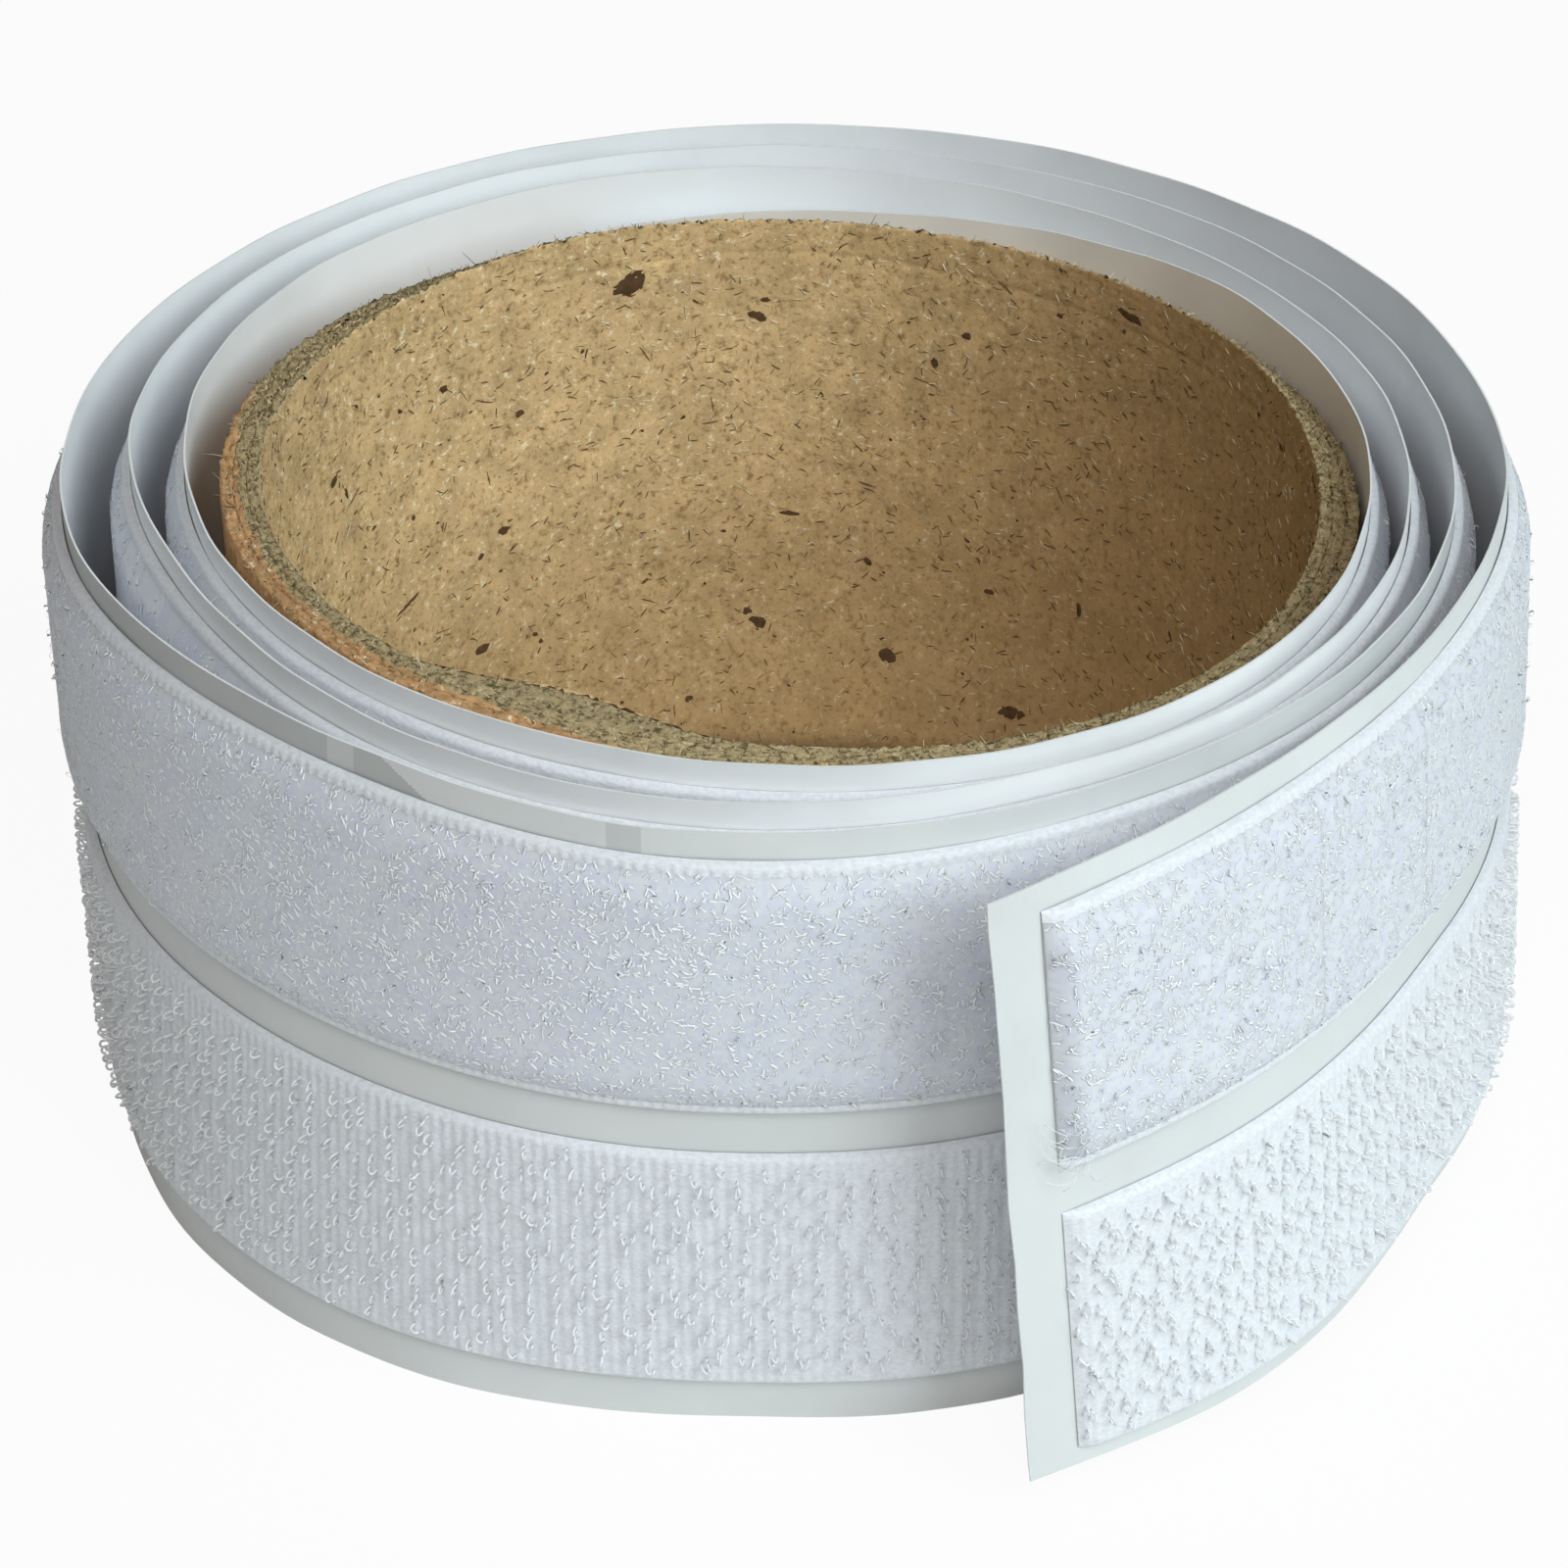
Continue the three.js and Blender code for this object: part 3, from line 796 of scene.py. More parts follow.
def foot_lean(angle, height):
    """How far the bore's foot leans in at the back, where the tube was squeezed."""
    return FOOT_SIZE * hump(angle, FOOT_ANGLE, FOOT_REACH) * (1 - share(height, 0, FOOT_HEIGHT)) ** 2


def rim_height(winding, angle, radius):
    """Height of the core's hand-cut rim, bevelled outwards at the back and lower at the front right."""
    s = winding.s
    x, y = radius * np.cos(angle), radius * np.sin(angle)
    across = share(radius, s.core_bore_radius, winding.core_radius)
    bevelled = np.minimum(BEVEL_SPREAD * hump(angle, BEVEL_ANGLE, BEVEL_REACH), 1)
    bevel = bevelled * (BEVEL_RISE * (1 - across) - BEVEL_DROP * across)
    dip = DIP_SIZE * hump(angle, DIP_ANGLE, DIP_REACH)
    return winding.core_length + s.core_rim_slope_x * x + s.core_rim_slope_y * y + bevel - dip


def core_point(winding, angle, radius, height):
    """Point at an angle and radius from the core's axis."""
    x, y = radius * np.cos(angle), radius * np.sin(angle)
    height = np.broadcast_to(height, x.shape)
    return np.stack([x + winding.axis[0], y + winding.axis[1], height], axis=-1)


def ply_shape(winding, ply, rng):
    """One ply of the core, with a torn rim. The innermost has a crushed line and leans in at a lip, along
    whose inner edge a shadow line is painted.
    """
    s = winding.s
    half_gap = s.core_glue_gap / 2
    inner = s.core_bore_radius + ply * (s.core_ply_thickness + s.core_glue_gap)
    outer = inner + s.core_ply_thickness + (half_gap if ply < 2 else 0.0)
    inner = inner - (half_gap if ply > 0 else 0.0)
    angle = np.arange(CORE_STEPS) * 2 * math.pi / CORE_STEPS
    top = rim_height(winding, angle, inner)
    outside_top = rim_height(winding, angle, outer)
    wander = CRUSH_DEPTH * (1 + 0.25 * ripple(np.cos(angle) * 2 + np.sin(angle), (1, 2, 3), 5))
    lip = lip_size(angle) if ply == 0 else np.zeros(CORE_STEPS)
    rings, kinds = [], []
    for share_up in np.linspace(0, 1, BORE_RINGS)[:-1]:
        height = share_up * (top - LIP_DEPTH)
        lean = foot_lean(angle, height) if ply == 0 else 0.0
        rings.append((inner - lean, height))
        kinds.append(BOARD)
    for drop in np.linspace(LIP_DEPTH, LIP_TOP, LIP_RINGS):
        off = (drop - wander) / CRUSH_WIDTH
        groove = CRUSH_GROOVE * np.exp(-(off**2)) if ply == 0 else 0.0
        rings.append((inner + groove - lip * (1 - drop / LIP_DEPTH) ** 2, top - drop))
        kinds.append(BOARD)
    for across in RIM_SHARES:
        torn = RIM_ROUGHNESS * rng.normal(size=CORE_STEPS)
        radius = (inner - lip) * (1 - across) + outer * across
        level = top * (1 - across) + outside_top * across
        rings.append((radius + 0.4 * torn, level + torn - lip * LIP_DROP * (1 - across)))
        kinds.append(EDGE)
    for drop in OUTSIDE_DROPS:
        rings.append((outer, outside_top - drop * MM))
        kinds.append(OUTSIDE)
    rings.append((outer, CHAMFER_HEIGHT))
    rings.append((outer - CHAMFER_DEPTH, 0.0))
    kinds += [OUTSIDE, OUTSIDE]
    lip_ring = kinds.index(EDGE)
    kinds = np.repeat(np.array(kinds)[:, None], CORE_STEPS, axis=1)
    # Painted shadow: the rim's inner strip is dark where the lip leans in, for the shade at the
    # overhanging lip's edge
    kinds[lip_ring, lip > LIP_LINE * LIP_SIZE] = PAINTED_SHADOW
    kinds[(kinds == EDGE) & (worn_edge(angle) < ring_share(winding, rings))] = OUTSIDE
    points = []
    for number_of_ring, (radius, height) in enumerate(rings):
        rough = BORE_ROUGHNESS * rng.normal(size=CORE_STEPS) if 0 < number_of_ring else 0.0
        points.append(core_point(winding, angle, radius + rough, np.maximum(height, 0)))
    count = len(rings)
    index = np.arange(count * CORE_STEPS).reshape(count, CORE_STEPS)
    around = np.concatenate([index, index[:, :1]], axis=1)
    closed = np.concatenate([around, around[:1]], axis=0)
    shape = Shape()
    shape.add(np.stack(points), [grid_faces(closed)[:, ::-1]], True, kinds.ravel())
    return shape


def ring_share(winding, rings):
    """How far each ring of a ply lies across the core's wall, from 0 inside to 1 outside."""
    bore, outside = winding.s.core_bore_radius, winding.core_radius
    radii = [np.broadcast_to(radius, CORE_STEPS) for radius, _ in rings]
    return (np.stack(radii) - bore) / (outside - bore)


def worn_edge(angle):
    """Share of the rim, from inside, that is torn; past it the outer paper is folded over the rim."""
    uneven = WORN_UNEVEN * ripple(angle, (9, 23, 41), 8)
    worn = np.minimum(WORN_SPREAD * hump(angle, WORN_ANGLE, WORN_REACH), 1)
    return UNWORN - WORN_SHARE * worn + uneven


FIBRE_RINGS = 4
FIBRE_CURL = 0.5
FIBRE_SIDES = 3
RIM_FIBRE_SINK = 0.08 * MM
WALL_FIBRE_PROUD = 0.012 * MM


def fibre_paths(starts, ways, lengths, rng):
    """Paths of short fibres that leave their starts along ways and bend at random."""
    t = np.linspace(0, 1, FIBRE_RINGS)
    sway = rng.normal(size=(len(starts), 3)) * FIBRE_CURL
    step = ways[:, None, :] * t[None, :, None] + sway[:, None, :] * (t**2)[None, :, None]
    return starts[:, None, :] + step * lengths[:, None, None]


def rim_fibre_shape(winding, count, rng):
    """Torn fibres along the rim, standing and lying in all directions."""
    s = winding.s
    angle = rng.uniform(0, 2 * math.pi, count)
    across = rng.uniform(0, 1, count)
    radius = (s.core_bore_radius - lip_size(angle)) * (1 - across) + winding.core_radius * across
    top = rim_height(winding, angle, radius)
    starts = core_point(winding, angle, radius, 0.0)
    starts[:, 2] = top - RIM_FIBRE_SINK - LIP_DROP * lip_size(angle) * (1 - across)
    ways = rng.normal(size=(count, 3))
    ways[:, 2] = np.abs(ways[:, 2]) * 0.45 + 0.06
    ways /= np.linalg.norm(ways, axis=1, keepdims=True)
    lengths = rng.uniform(0.15, 0.5, count) * MM * (1 + 1.2 * (rng.uniform(size=count) > 0.96))
    paths = fibre_paths(starts, ways, lengths, rng)
    sideways = np.cross(ways, rng.normal(size=(count, 3)))
    thick = rng.uniform(0.02, 0.055, count)[:, None] * MM * np.linspace(1, 0.5, paths.shape[1])
    shape = Shape()
    slots = rng.choice(3, count, p=(0.4, 0.28, 0.32))
    add_tubes(shape, paths, sideways, thick, FIBRE_SIDES, slots)
    return shape


def wall_places(winding, count, rng):
    """Random places on the bore: angles and heights."""
    angle = rng.uniform(0, 2 * math.pi, count)
    radius = winding.s.core_bore_radius
    top = rim_height(winding, angle, radius)
    return angle, rng.uniform(0.4 * MM, top - 0.6 * MM)


def wall_fibre_shape(winding, count, rng):
    """Straw, bark and pulp fibres pressed into the bore's surface."""
    angle, height = wall_places(winding, count, rng)
    t = np.linspace(-0.5, 0.5, FIBRE_RINGS)
    tilt = rng.normal(0.0, 0.75, count)
    long = rng.uniform(0.25, 1.0, count) * MM * (1 + (rng.uniform(size=count) > 0.95))
    bend = rng.normal(0, 0.25, count)
    run = long[:, None] * t * np.cos(tilt)[:, None]
    rise = long[:, None] * (t * np.sin(tilt)[:, None] + bend[:, None] * (t**2 - 0.1))
    radius = winding.s.core_bore_radius - WALL_FIBRE_PROUD
    at = angle[:, None] + run / radius
    paths = core_point(winding, at, radius - foot_lean(at, height[:, None] + rise), 0.0)
    paths[..., 2] = height[:, None] + rise
    across = core_point(winding, angle, np.ones(count), 0.0)
    across[:, :2] -= winding.axis
    thick = rng.uniform(0.03, 0.07, count)[:, None] * MM * np.sqrt(1 - (1.8 * t) ** 2 * 0.9)
    shape = Shape()
    slots = rng.choice(3, count, p=(0.36, 0.4, 0.24))
    add_tubes(shape, paths, across, thick, FIBRE_SIDES, slots)
    return shape


# The bark flecks that show most: angle in degrees from +X, height and length in millimetres, breadth
# as a share of the length, and tilt in degrees. Each was picked on the photograph; another program
# turned its pixel into the angle and the height, with the fitted camera, and these were rounded since
BARK_FLECKS = (
    (110, 43.5, 3.3, 0.6, -28), (94, 39.5, 1.5, 0.6, 20), (93, 41, 0.9, 0.5, 0),
    (59, 4.5, 2.7, 0.4, 5), (94, 10, 1.6, 0.65, 10), (95.5, 11, 1, 0.6, 0),
    (77, 7.5, 1.8, 0.6, 15), (132, 13, 1.5, 0.7, 0), (157, 37, 1.2, 0.6, -30),
    (154.5, 35, 1.3, 0.3, 70), (90, 20.5, 1.7, 0.35, 5), (64, 15, 1, 0.7, 0),
    (80, 16, 1, 0.6, 40), (128, 23.5, 1.2, 0.6, 0), (125, 34, 0.9, 0.7, 0),
    (72, 36, 1.2, 0.6, 60), (68, 39, 1, 0.7, 0), (51, 16, 1.4, 0.4, 85),
    (144, 21, 3.2, 0.1, -18), (36, 18, 1.2, 0.25, 60), (45.5, 45, 2.4, 0.35, 10),
)
FLECK_SIDES = 9
# A fleck's rings: the share of its outline, and how far each lies behind the bore's face
FLECK_RINGS = ((1.0, 0.15 * MM), (1.0, -0.02 * MM), (0.7, -0.06 * MM))


def fleck_shape(winding, count, rng):
    """Flat dark flecks on the bore: a few large ones and many grains."""
    angle, height = wall_places(winding, count, rng)
    long = rng.gamma(2.0, 0.11, count) * MM + 0.14 * MM
    tilt = rng.normal(0.2, 0.6, count)
    broad = rng.uniform(0.4, 0.8, count)
    for number_of_fleck, (degrees, high, size, breadth, turned) in enumerate(BARK_FLECKS):
        angle[number_of_fleck] = math.radians(degrees)
        height[number_of_fleck] = high * MM
        long[number_of_fleck] = size * MM
        broad[number_of_fleck] = breadth
        tilt[number_of_fleck] = math.radians(turned)
    corner = np.arange(FLECK_SIDES) * 2 * math.pi / FLECK_SIDES
    uneven = rng.uniform(0.7, 1.25, (count, FLECK_SIDES)) / 2
    one = long[:, None] * uneven * np.cos(corner)
    two = long[:, None] * broad[:, None] * uneven * np.sin(corner)
    run = one * np.cos(tilt)[:, None] - two * np.sin(tilt)[:, None]
    rise = one * np.sin(tilt)[:, None] + two * np.cos(tilt)[:, None]
    wall = winding.s.core_bore_radius
    rings = []
    for inset, behind in FLECK_RINGS:
        at = angle[:, None] + run * inset / wall
        high = height[:, None] + rise * inset
        ring = core_point(winding, at, wall + behind - foot_lean(at, high), 0.0)
        ring[..., 2] = high
        rings.append(ring)
    walls, first, last = tube_faces(count, len(FLECK_RINGS), FLECK_SIDES)
    shape = Shape()
    shape.add(np.stack(rings, axis=1), [walls, first, last], False)
    return shape


# Band

COIL_STEPS = 220
LINER_STEP = 0.6 * MM
DIM_STEP = 0.12 * MM
GLUE_STEPS = 120
GLUE_STEP = 1.5 * MM
HIDDEN_STEP = 2 * MM
OPEN_TURN = 1.03
LOW_ROWS, MIDDLE_ROWS, HIGH_ROWS = 3, 11, 15
GLUE_REST = 0.7
GLUE_SINK = 0.01 * MM
TAB_CURL = 0.25 * MM
EDGE_WOBBLE = 0.09 * MM
PAPER_RIPPLE = 0.1 * MM
CRUMPLE = 0.45 * MM
CRUMPLE_HEIGHT = 32.5 * MM
CRUMPLE_REACH = 2.4 * MM
# Painted light: up to these turns the liner's inner face is painted warm and pale, for light through the
# single paper
LIT_THROUGH_TURNS = 0.3
INSIDE, LIT_THROUGH = 3, 4
PALE_SHIFT = 0.25  # the inner turns' outer faces are painted pale, for light through the paper with pale turns behind it, up to the back of the turn before the open one
# The cut of the free end leaves less bare paper below the hook strip
TRIM = 2.1 * MM
TRIM_FROM, TRIM_TO = 3.2, 3.4
# Where the open upper margin is painted in shade, since nothing pale backs the paper: from and to some
# turns, how far the start leans back down the margin, and the finish. Three of the turns were found by a
# program, as the flecks' places were
DIM_PLACES = (
    (2.658, 2.86, 0.0, 2),
    (2.651, 2.658, 0.0, 1),
    (2.644, 2.651, 0.012, 2),
    (2.585, 2.592, 0.0, 1),
)


def run_of(winding, start, stop, step):
    """Turns from start to stop, spaced by about a length along the band."""
    count = max(3, round(winding.distance(start, stop) / step))
    return np.linspace(start, stop, count + 1)


def liner_shape(winding, stretch):
    """The paper liner along one stretch, with a slightly wavy edge and a crumpled tab."""
    w = winding
    step = w.distance(0, 1) / COIL_STEPS if stretch.name == "coil" else LINER_STEP
    turns = run_of(w, stretch.start, stretch.stop, step)
    if stretch.name == "coil":
        first, last = DIM_PLACES[-1][0] - 0.002, DIM_PLACES[0][0] + 0.002
        fine = run_of(w, first, last, DIM_STEP)
        before, after = turns[turns < first - 0.001], turns[turns > last + 0.001]
        turns = np.concatenate([before, fine, after])
    low = np.linspace(0, w.hook_span[0], LOW_ROWS)
    high = np.linspace(w.loop_span[1], w.width, HIGH_ROWS)
    heights = np.concatenate([low, np.linspace(low[-1], high[0], MIDDLE_ROWS)[1:-1], high])
    turns, heights = np.broadcast_arrays(turns[:, None], heights[None, :])
    slots = dim_slots(w, turns, heights)
    # Painted light on the inner face: warm and pale on the innermost turn, the paler inside finish
    # elsewhere
    back_slots = np.where(turns[1:, 1:] < LIT_THROUGH_TURNS, LIT_THROUGH, INSIDE)
    trim = TRIM * share(turns, TRIM_FROM, TRIM_TO)
    heights = heights + trim * (1 - share(heights, 0, w.s.bottom_margin))
    from_edge = np.abs(heights / w.width - 0.5) * 2
    wobble = EDGE_WOBBLE * ripple(turns * 2 * math.pi, (3, 7, 16, 29), 3)
    wobble = wobble * np.sign(heights - w.width / 2)
    heights = np.clip(heights + wobble * from_edge**8, 0, None)
    depth = PAPER_RIPPLE * ripple(turns * 2 * math.pi, (5, 11, 23), 9) * from_edge**6
    tab = share(turns, w.strip_end, w.turns)
    near = (heights - CRUMPLE_HEIGHT) / CRUMPLE_REACH
    depth = depth + CRUMPLE * tab * np.exp(-(near**2)) * np.sin(near * 3 + 0.6)
    depth = depth + TAB_CURL * tab**2 * ripple(heights / MM, (0.25, 0.6), 21)
    outer = depth + w.s.liner_thickness
    return band_shape(w, turns, heights, depth, outer, slots, back_slots, INSIDE)


def dim_slots(winding, turns, heights):
    """Finish of each quad of the liner's outer face: painted pale on the inner turns, for light through
    the paper, plain on the open turn, and painted in shade in places on its upper margin."""
    middle = (turns[:-1, :-1] + turns[1:, 1:]) / 2
    high = (heights[:-1, :-1] + heights[1:, 1:]) / 2
    # Painted light: the inner turns' outer faces take the paler inside finish
    slots = np.where(middle < visible_start(winding) - PALE_SHIFT, INSIDE, 0)
    down = 1 - share(high, winding.loop_span[1], winding.width)
    # Painted shade on the open upper margin, where nothing pale backs the paper
    for start, stop, lean, slot in DIM_PLACES:
        inside = (middle > start - lean * down) & (middle < stop)
        slots[inside & (high > winding.loop_span[1]) & np.isin(slots, (0, INSIDE))] = slot
    return slots


def glue_shape(winding, stretch, span):
    """The glue film behind a strip along one stretch."""
    w = winding
    step = w.distance(0, 1) / GLUE_STEPS if stretch.name == "coil" else GLUE_STEP
    stop = w.along(stretch.stop, -2 * EDGE_ROUND) if stretch.name == "flap" else stretch.stop
    turns = run_of(w, stretch.start, stop, step)
    heights = np.linspace(span[0] + EDGE_ROUND, span[1] - EDGE_ROUND, 3)
    front = w.glue_depth - w.s.bond_gap * GLUE_REST
    turns, heights = np.broadcast_arrays(turns[:, None], heights[None, :])
    back = w.ground_depth - GLUE_SINK
    return band_shape(w, turns, heights, pressed(w, turns, front), pressed(w, turns, back))


def visible_start(winding):
    """Turns from which the coil's outer face is in the open once the free end is lifted."""
    return winding.coil - OPEN_TURN


END_TAPER = 1.8 * MM
END_LEFT = 0.17


def end_fill(winding, turns):
    """Share of a strip's thickness that is left where its cut end is pressed down."""
    near = share(turns, winding.along(winding.strip_end, -END_TAPER), winding.strip_end)
    return 1 - (1 - END_LEFT) * near**2


def pressed(winding, turns, depth):
    """A depth of a strip's layer, pressed towards the liner near the strip's end."""
    foot = winding.s.liner_thickness
    return foot + (depth - foot) * end_fill(winding, turns)


EDGE_ROUND = 0.55 * MM
EDGE_LEFT = 0.12 * MM
EDGE_STEPS = np.array([0, 0.05, 0.12, 0.22, 0.36, 0.55, 0.9, 1.4, 2.4]) * MM
EDGE_INSET = 4 * MM


def weave_shape(winding, stretch, span, pile):
    """A strip's woven ground, ribbed, with rounded edges and a pressed end."""
    w = winding
    opens = visible_start(w)
    fine = pile.rib_pitch / 4
    if stretch.name == "coil":
        hidden = run_of(w, stretch.start, opens, HIDDEN_STEP)
        turns = np.concatenate([hidden[:-1], run_of(w, opens, stretch.stop, fine)])
    else:
        turns = run_of(w, stretch.start, stretch.stop, fine)
    inside = np.linspace(span[0] + EDGE_INSET, span[1] - EDGE_INSET, 4)
    heights = np.concatenate([span[0] + EDGE_STEPS, inside, (span[1] - EDGE_STEPS)[::-1]])
    turns, heights = np.broadcast_arrays(turns[:, None], heights[None, :])
    along = np.interp(turns, w.table, w.lengths)
    ribs = 0.5 + 0.5 * np.cos(2 * math.pi * along / pile.rib_pitch)
    from_edge = np.minimum(heights - span[0], span[1] - heights)
    near = 1 - share(from_edge, 0, EDGE_ROUND)
    depth = w.pile_depth - pile.rib_depth * (1 - ribs) * (1 - near)
    depth = depth - (w.pile_depth - w.glue_depth - EDGE_LEFT) * (1 - np.sqrt(1 - near**2))
    inner = np.minimum(w.ground_depth, depth - EDGE_LEFT)
    return band_shape(w, turns, heights, pressed(w, turns, inner), pressed(w, turns, depth))


BED_EDGE = 2.6 * MM
BED_SWELL = 0.05 * MM
BED_SINK = 0.05 * MM
BED_FOOT = 0.2 * MM


def bed_swell(winding, turns, heights):
    """Broad swells of the pile, about -1 to 1."""
    along = np.interp(turns, winding.table, winding.lengths) / MM
    across = heights / MM
    one = ripple(along + 0.6 * across, (0.5, 1.1), 31)
    return 0.5 * one + 0.5 * ripple(across - 0.4 * along, (0.7, 1.6), 32)


def bed_level(winding, turns, heights, low, high, pile):
    """Depth of the matted foot's surface, which sinks to the weave at both edges."""
    from_edge = share(np.minimum(heights - low, high - heights), 0, BED_EDGE)
    rounded = from_edge * (2 - from_edge)
    swollen = pile.bed_height + BED_SWELL * bed_swell(winding, turns, heights)
    return winding.pile_depth - BED_SINK + swollen * rounded


def bed_shape(winding, start, stop, low, high, step, pile, rng):
    """The matted foot of the loops: a lumpy sheet on the weave, in three shades."""
    w = winding
    turns = run_of(w, start, stop, step)
    rows = max(4, round((high - low) / step))
    heights = np.linspace(low, high, rows + 1)
    turns, heights = np.broadcast_arrays(turns[:, None], heights[None, :])
    lump = pile.bed_lump * rng.normal(size=turns.shape)
    lump[[0, -1]] = 0
    lump[:, [0, -1]] = 0
    depth = bed_level(w, turns, heights, low, high, pile) + lump
    tone = bed_swell(w, turns, heights)[1:, 1:] + rng.normal(0, 0.9, depth[1:, 1:].shape)
    slots = (tone > -0.4).astype(int) + (tone > 0.4)
    inner = pressed(w, turns, w.pile_depth - BED_FOOT)
    return band_shape(w, turns, heights, inner, pressed(w, turns, depth), slots)


LOOP_RINGS = 6
LOOP_SINK = 0.03 * MM
LOOP_TWIST = 0.26
LOOP_BALLOON = 1.3


def loop_paths(winding, turns, height, level, tall, span, rng):
    """Paths of many loops that rise from the pile, balloon out and come back to it.

    level gives the depth of the pile's surface at some turns and heights.
    """
    count = len(turns)
    t = np.linspace(0, 1, LOOP_RINGS)
    arch = np.sin(math.pi * t)
    rise = arch**0.7
    facing = rng.uniform(0, 2 * math.pi, count)[:, None]
    span = span[:, None]
    lean = rng.uniform(0, 2 * math.pi, count)[:, None]
    lean_far = tall[:, None] * rng.uniform(0.0, 1.0, count)[:, None]
    twist = span * rng.normal(0, LOOP_TWIST, count)[:, None] * np.sin(2 * math.pi * t)
    reach = span * (t - 0.5) * (1 + LOOP_BALLOON * arch)
    one = reach * np.cos(facing) - twist * np.sin(facing) + lean_far * np.cos(lean) * rise
    two = reach * np.sin(facing) + twist * np.cos(facing) + lean_far * np.sin(lean) * rise
    at = winding.along(turns[:, None], one)
    high = height[:, None] + two
    depth = level(at, high) - LOOP_SINK + (LOOP_SINK + tall[:, None]) * rise
    paths = winding.points(at, high, pressed(winding, at, depth))
    base = np.full(count, winding.pile_depth)
    outward = winding.points(turns, height, base + MM) - winding.points(turns, height, base)
    way = paths[:, -1] - paths[:, 0]
    across = np.cross(way, outward)
    return paths, across / np.linalg.norm(across, axis=1, keepdims=True)


LOOP, GLINT = 3, 4
LOOP_SIDES = 3
LOOP_FLAT = 0.15
GLINT_THICK = 1.45
GLINT_SPAN = 1.3


def add_loops(shape, winding, start, stop, low, high, density, tallest, pile, rng):
    """Adds loops scattered over a stretch of the loop strip between two heights."""
    w = winding
    count = int(density * w.distance(start, stop) * (high - low) / MM**2)
    turns = rng.uniform(start, stop, count)
    height = rng.uniform(low, high, count)
    tall = pile.loop_height * rng.uniform(0.6, 1.3, count)
    proud = rng.uniform(size=count) < pile.proud_share
    tall = np.where(proud, rng.uniform(0.3 * tallest, tallest, count), tall)
    span = pile.loop_span * rng.uniform(0.6, 1.6, count)
    thick = pile.loop_radius * rng.uniform(0.8, 1.2, count)
    # Painted highlight: these loops are thicker, longer and near white, for glints of light off the
    # filaments
    glint = (rng.uniform(size=count) < pile.glint_share) & ~proud
    slots = np.where(glint, GLINT, LOOP)
    thick = np.where(glint, GLINT_THICK * thick, thick)
    span = np.where(glint, GLINT_SPAN * span, span)
    edges = w.loop_span[0] + w.s.loop_selvage, w.loop_span[1] - w.s.loop_selvage

    def level(at, across):
        """Depth of the pile's surface."""
        return bed_level(w, at, across, *edges, pile)

    paths, across = loop_paths(w, turns, height, level, tall, span, rng)
    add_tubes(shape, paths, across, thick[:, None], LOOP_SIDES, slots, LOOP_FLAT)


STRAY_YARNS = 26
STRAY_RINGS = 14
STRAY_RADIUS = 0.028 * MM


def add_stray_yarns(shape, winding, rng):
    """Adds a few long pulled yarns that curl at the loop strip's cut end, by its lower corner."""
    w = winding
    t = np.linspace(0, 1, STRAY_RINGS)
    begin = rng.uniform(0.2, 2.2, STRAY_YARNS)[:, None] * MM
    height = w.loop_span[0] + rng.uniform(0.2, 3.6, STRAY_YARNS)[:, None] * MM
    long = rng.uniform(1.2, 3.4, STRAY_YARNS)[:, None] * MM
    facing = rng.normal(0.0, 0.9, STRAY_YARNS)[:, None]
    facing = facing + rng.normal(0, 1.6, STRAY_YARNS)[:, None] * t
    one = np.cumsum(np.cos(facing), axis=1) * long / STRAY_RINGS - begin
    two = np.cumsum(np.sin(facing), axis=1) * long / STRAY_RINGS
    arch = rng.uniform(0.1, 0.7, STRAY_YARNS)[:, None] * np.sin(math.pi * t)
    depth = w.pile_depth + (0.25 + arch) * MM
    at = w.along(w.strip_end, one)
    depth = depth - share(at, w.strip_end, w.turns) * 1.2 * MM
    paths = w.points(at, height + two, depth)
    across = paths[:, -1] - paths[:, 0] + rng.normal(0, 1, (STRAY_YARNS, 3)) * MM
    slots = rng.integers(LOOP, GLINT + 1, STRAY_YARNS)
    add_tubes(shape, paths, across, STRAY_RADIUS, LOOP_SIDES, slots)


HOOK_SIDES = 4
HOOK_STEM_RINGS = 3
HOOK_CROOK_RINGS = 6
HOOK_TURN = math.radians(205)
HOOK_SINK = 0.1 * MM
HOOK_TIP = 0.7
HOOK_STRAY_ALONG, HOOK_STRAY_UP = 0.34 * MM, 0.3 * MM
STUB_SHARE = 0.5
STUB_STEP = 1.5
STUB_LEAN = 0.3
STUB_RINGS = 3


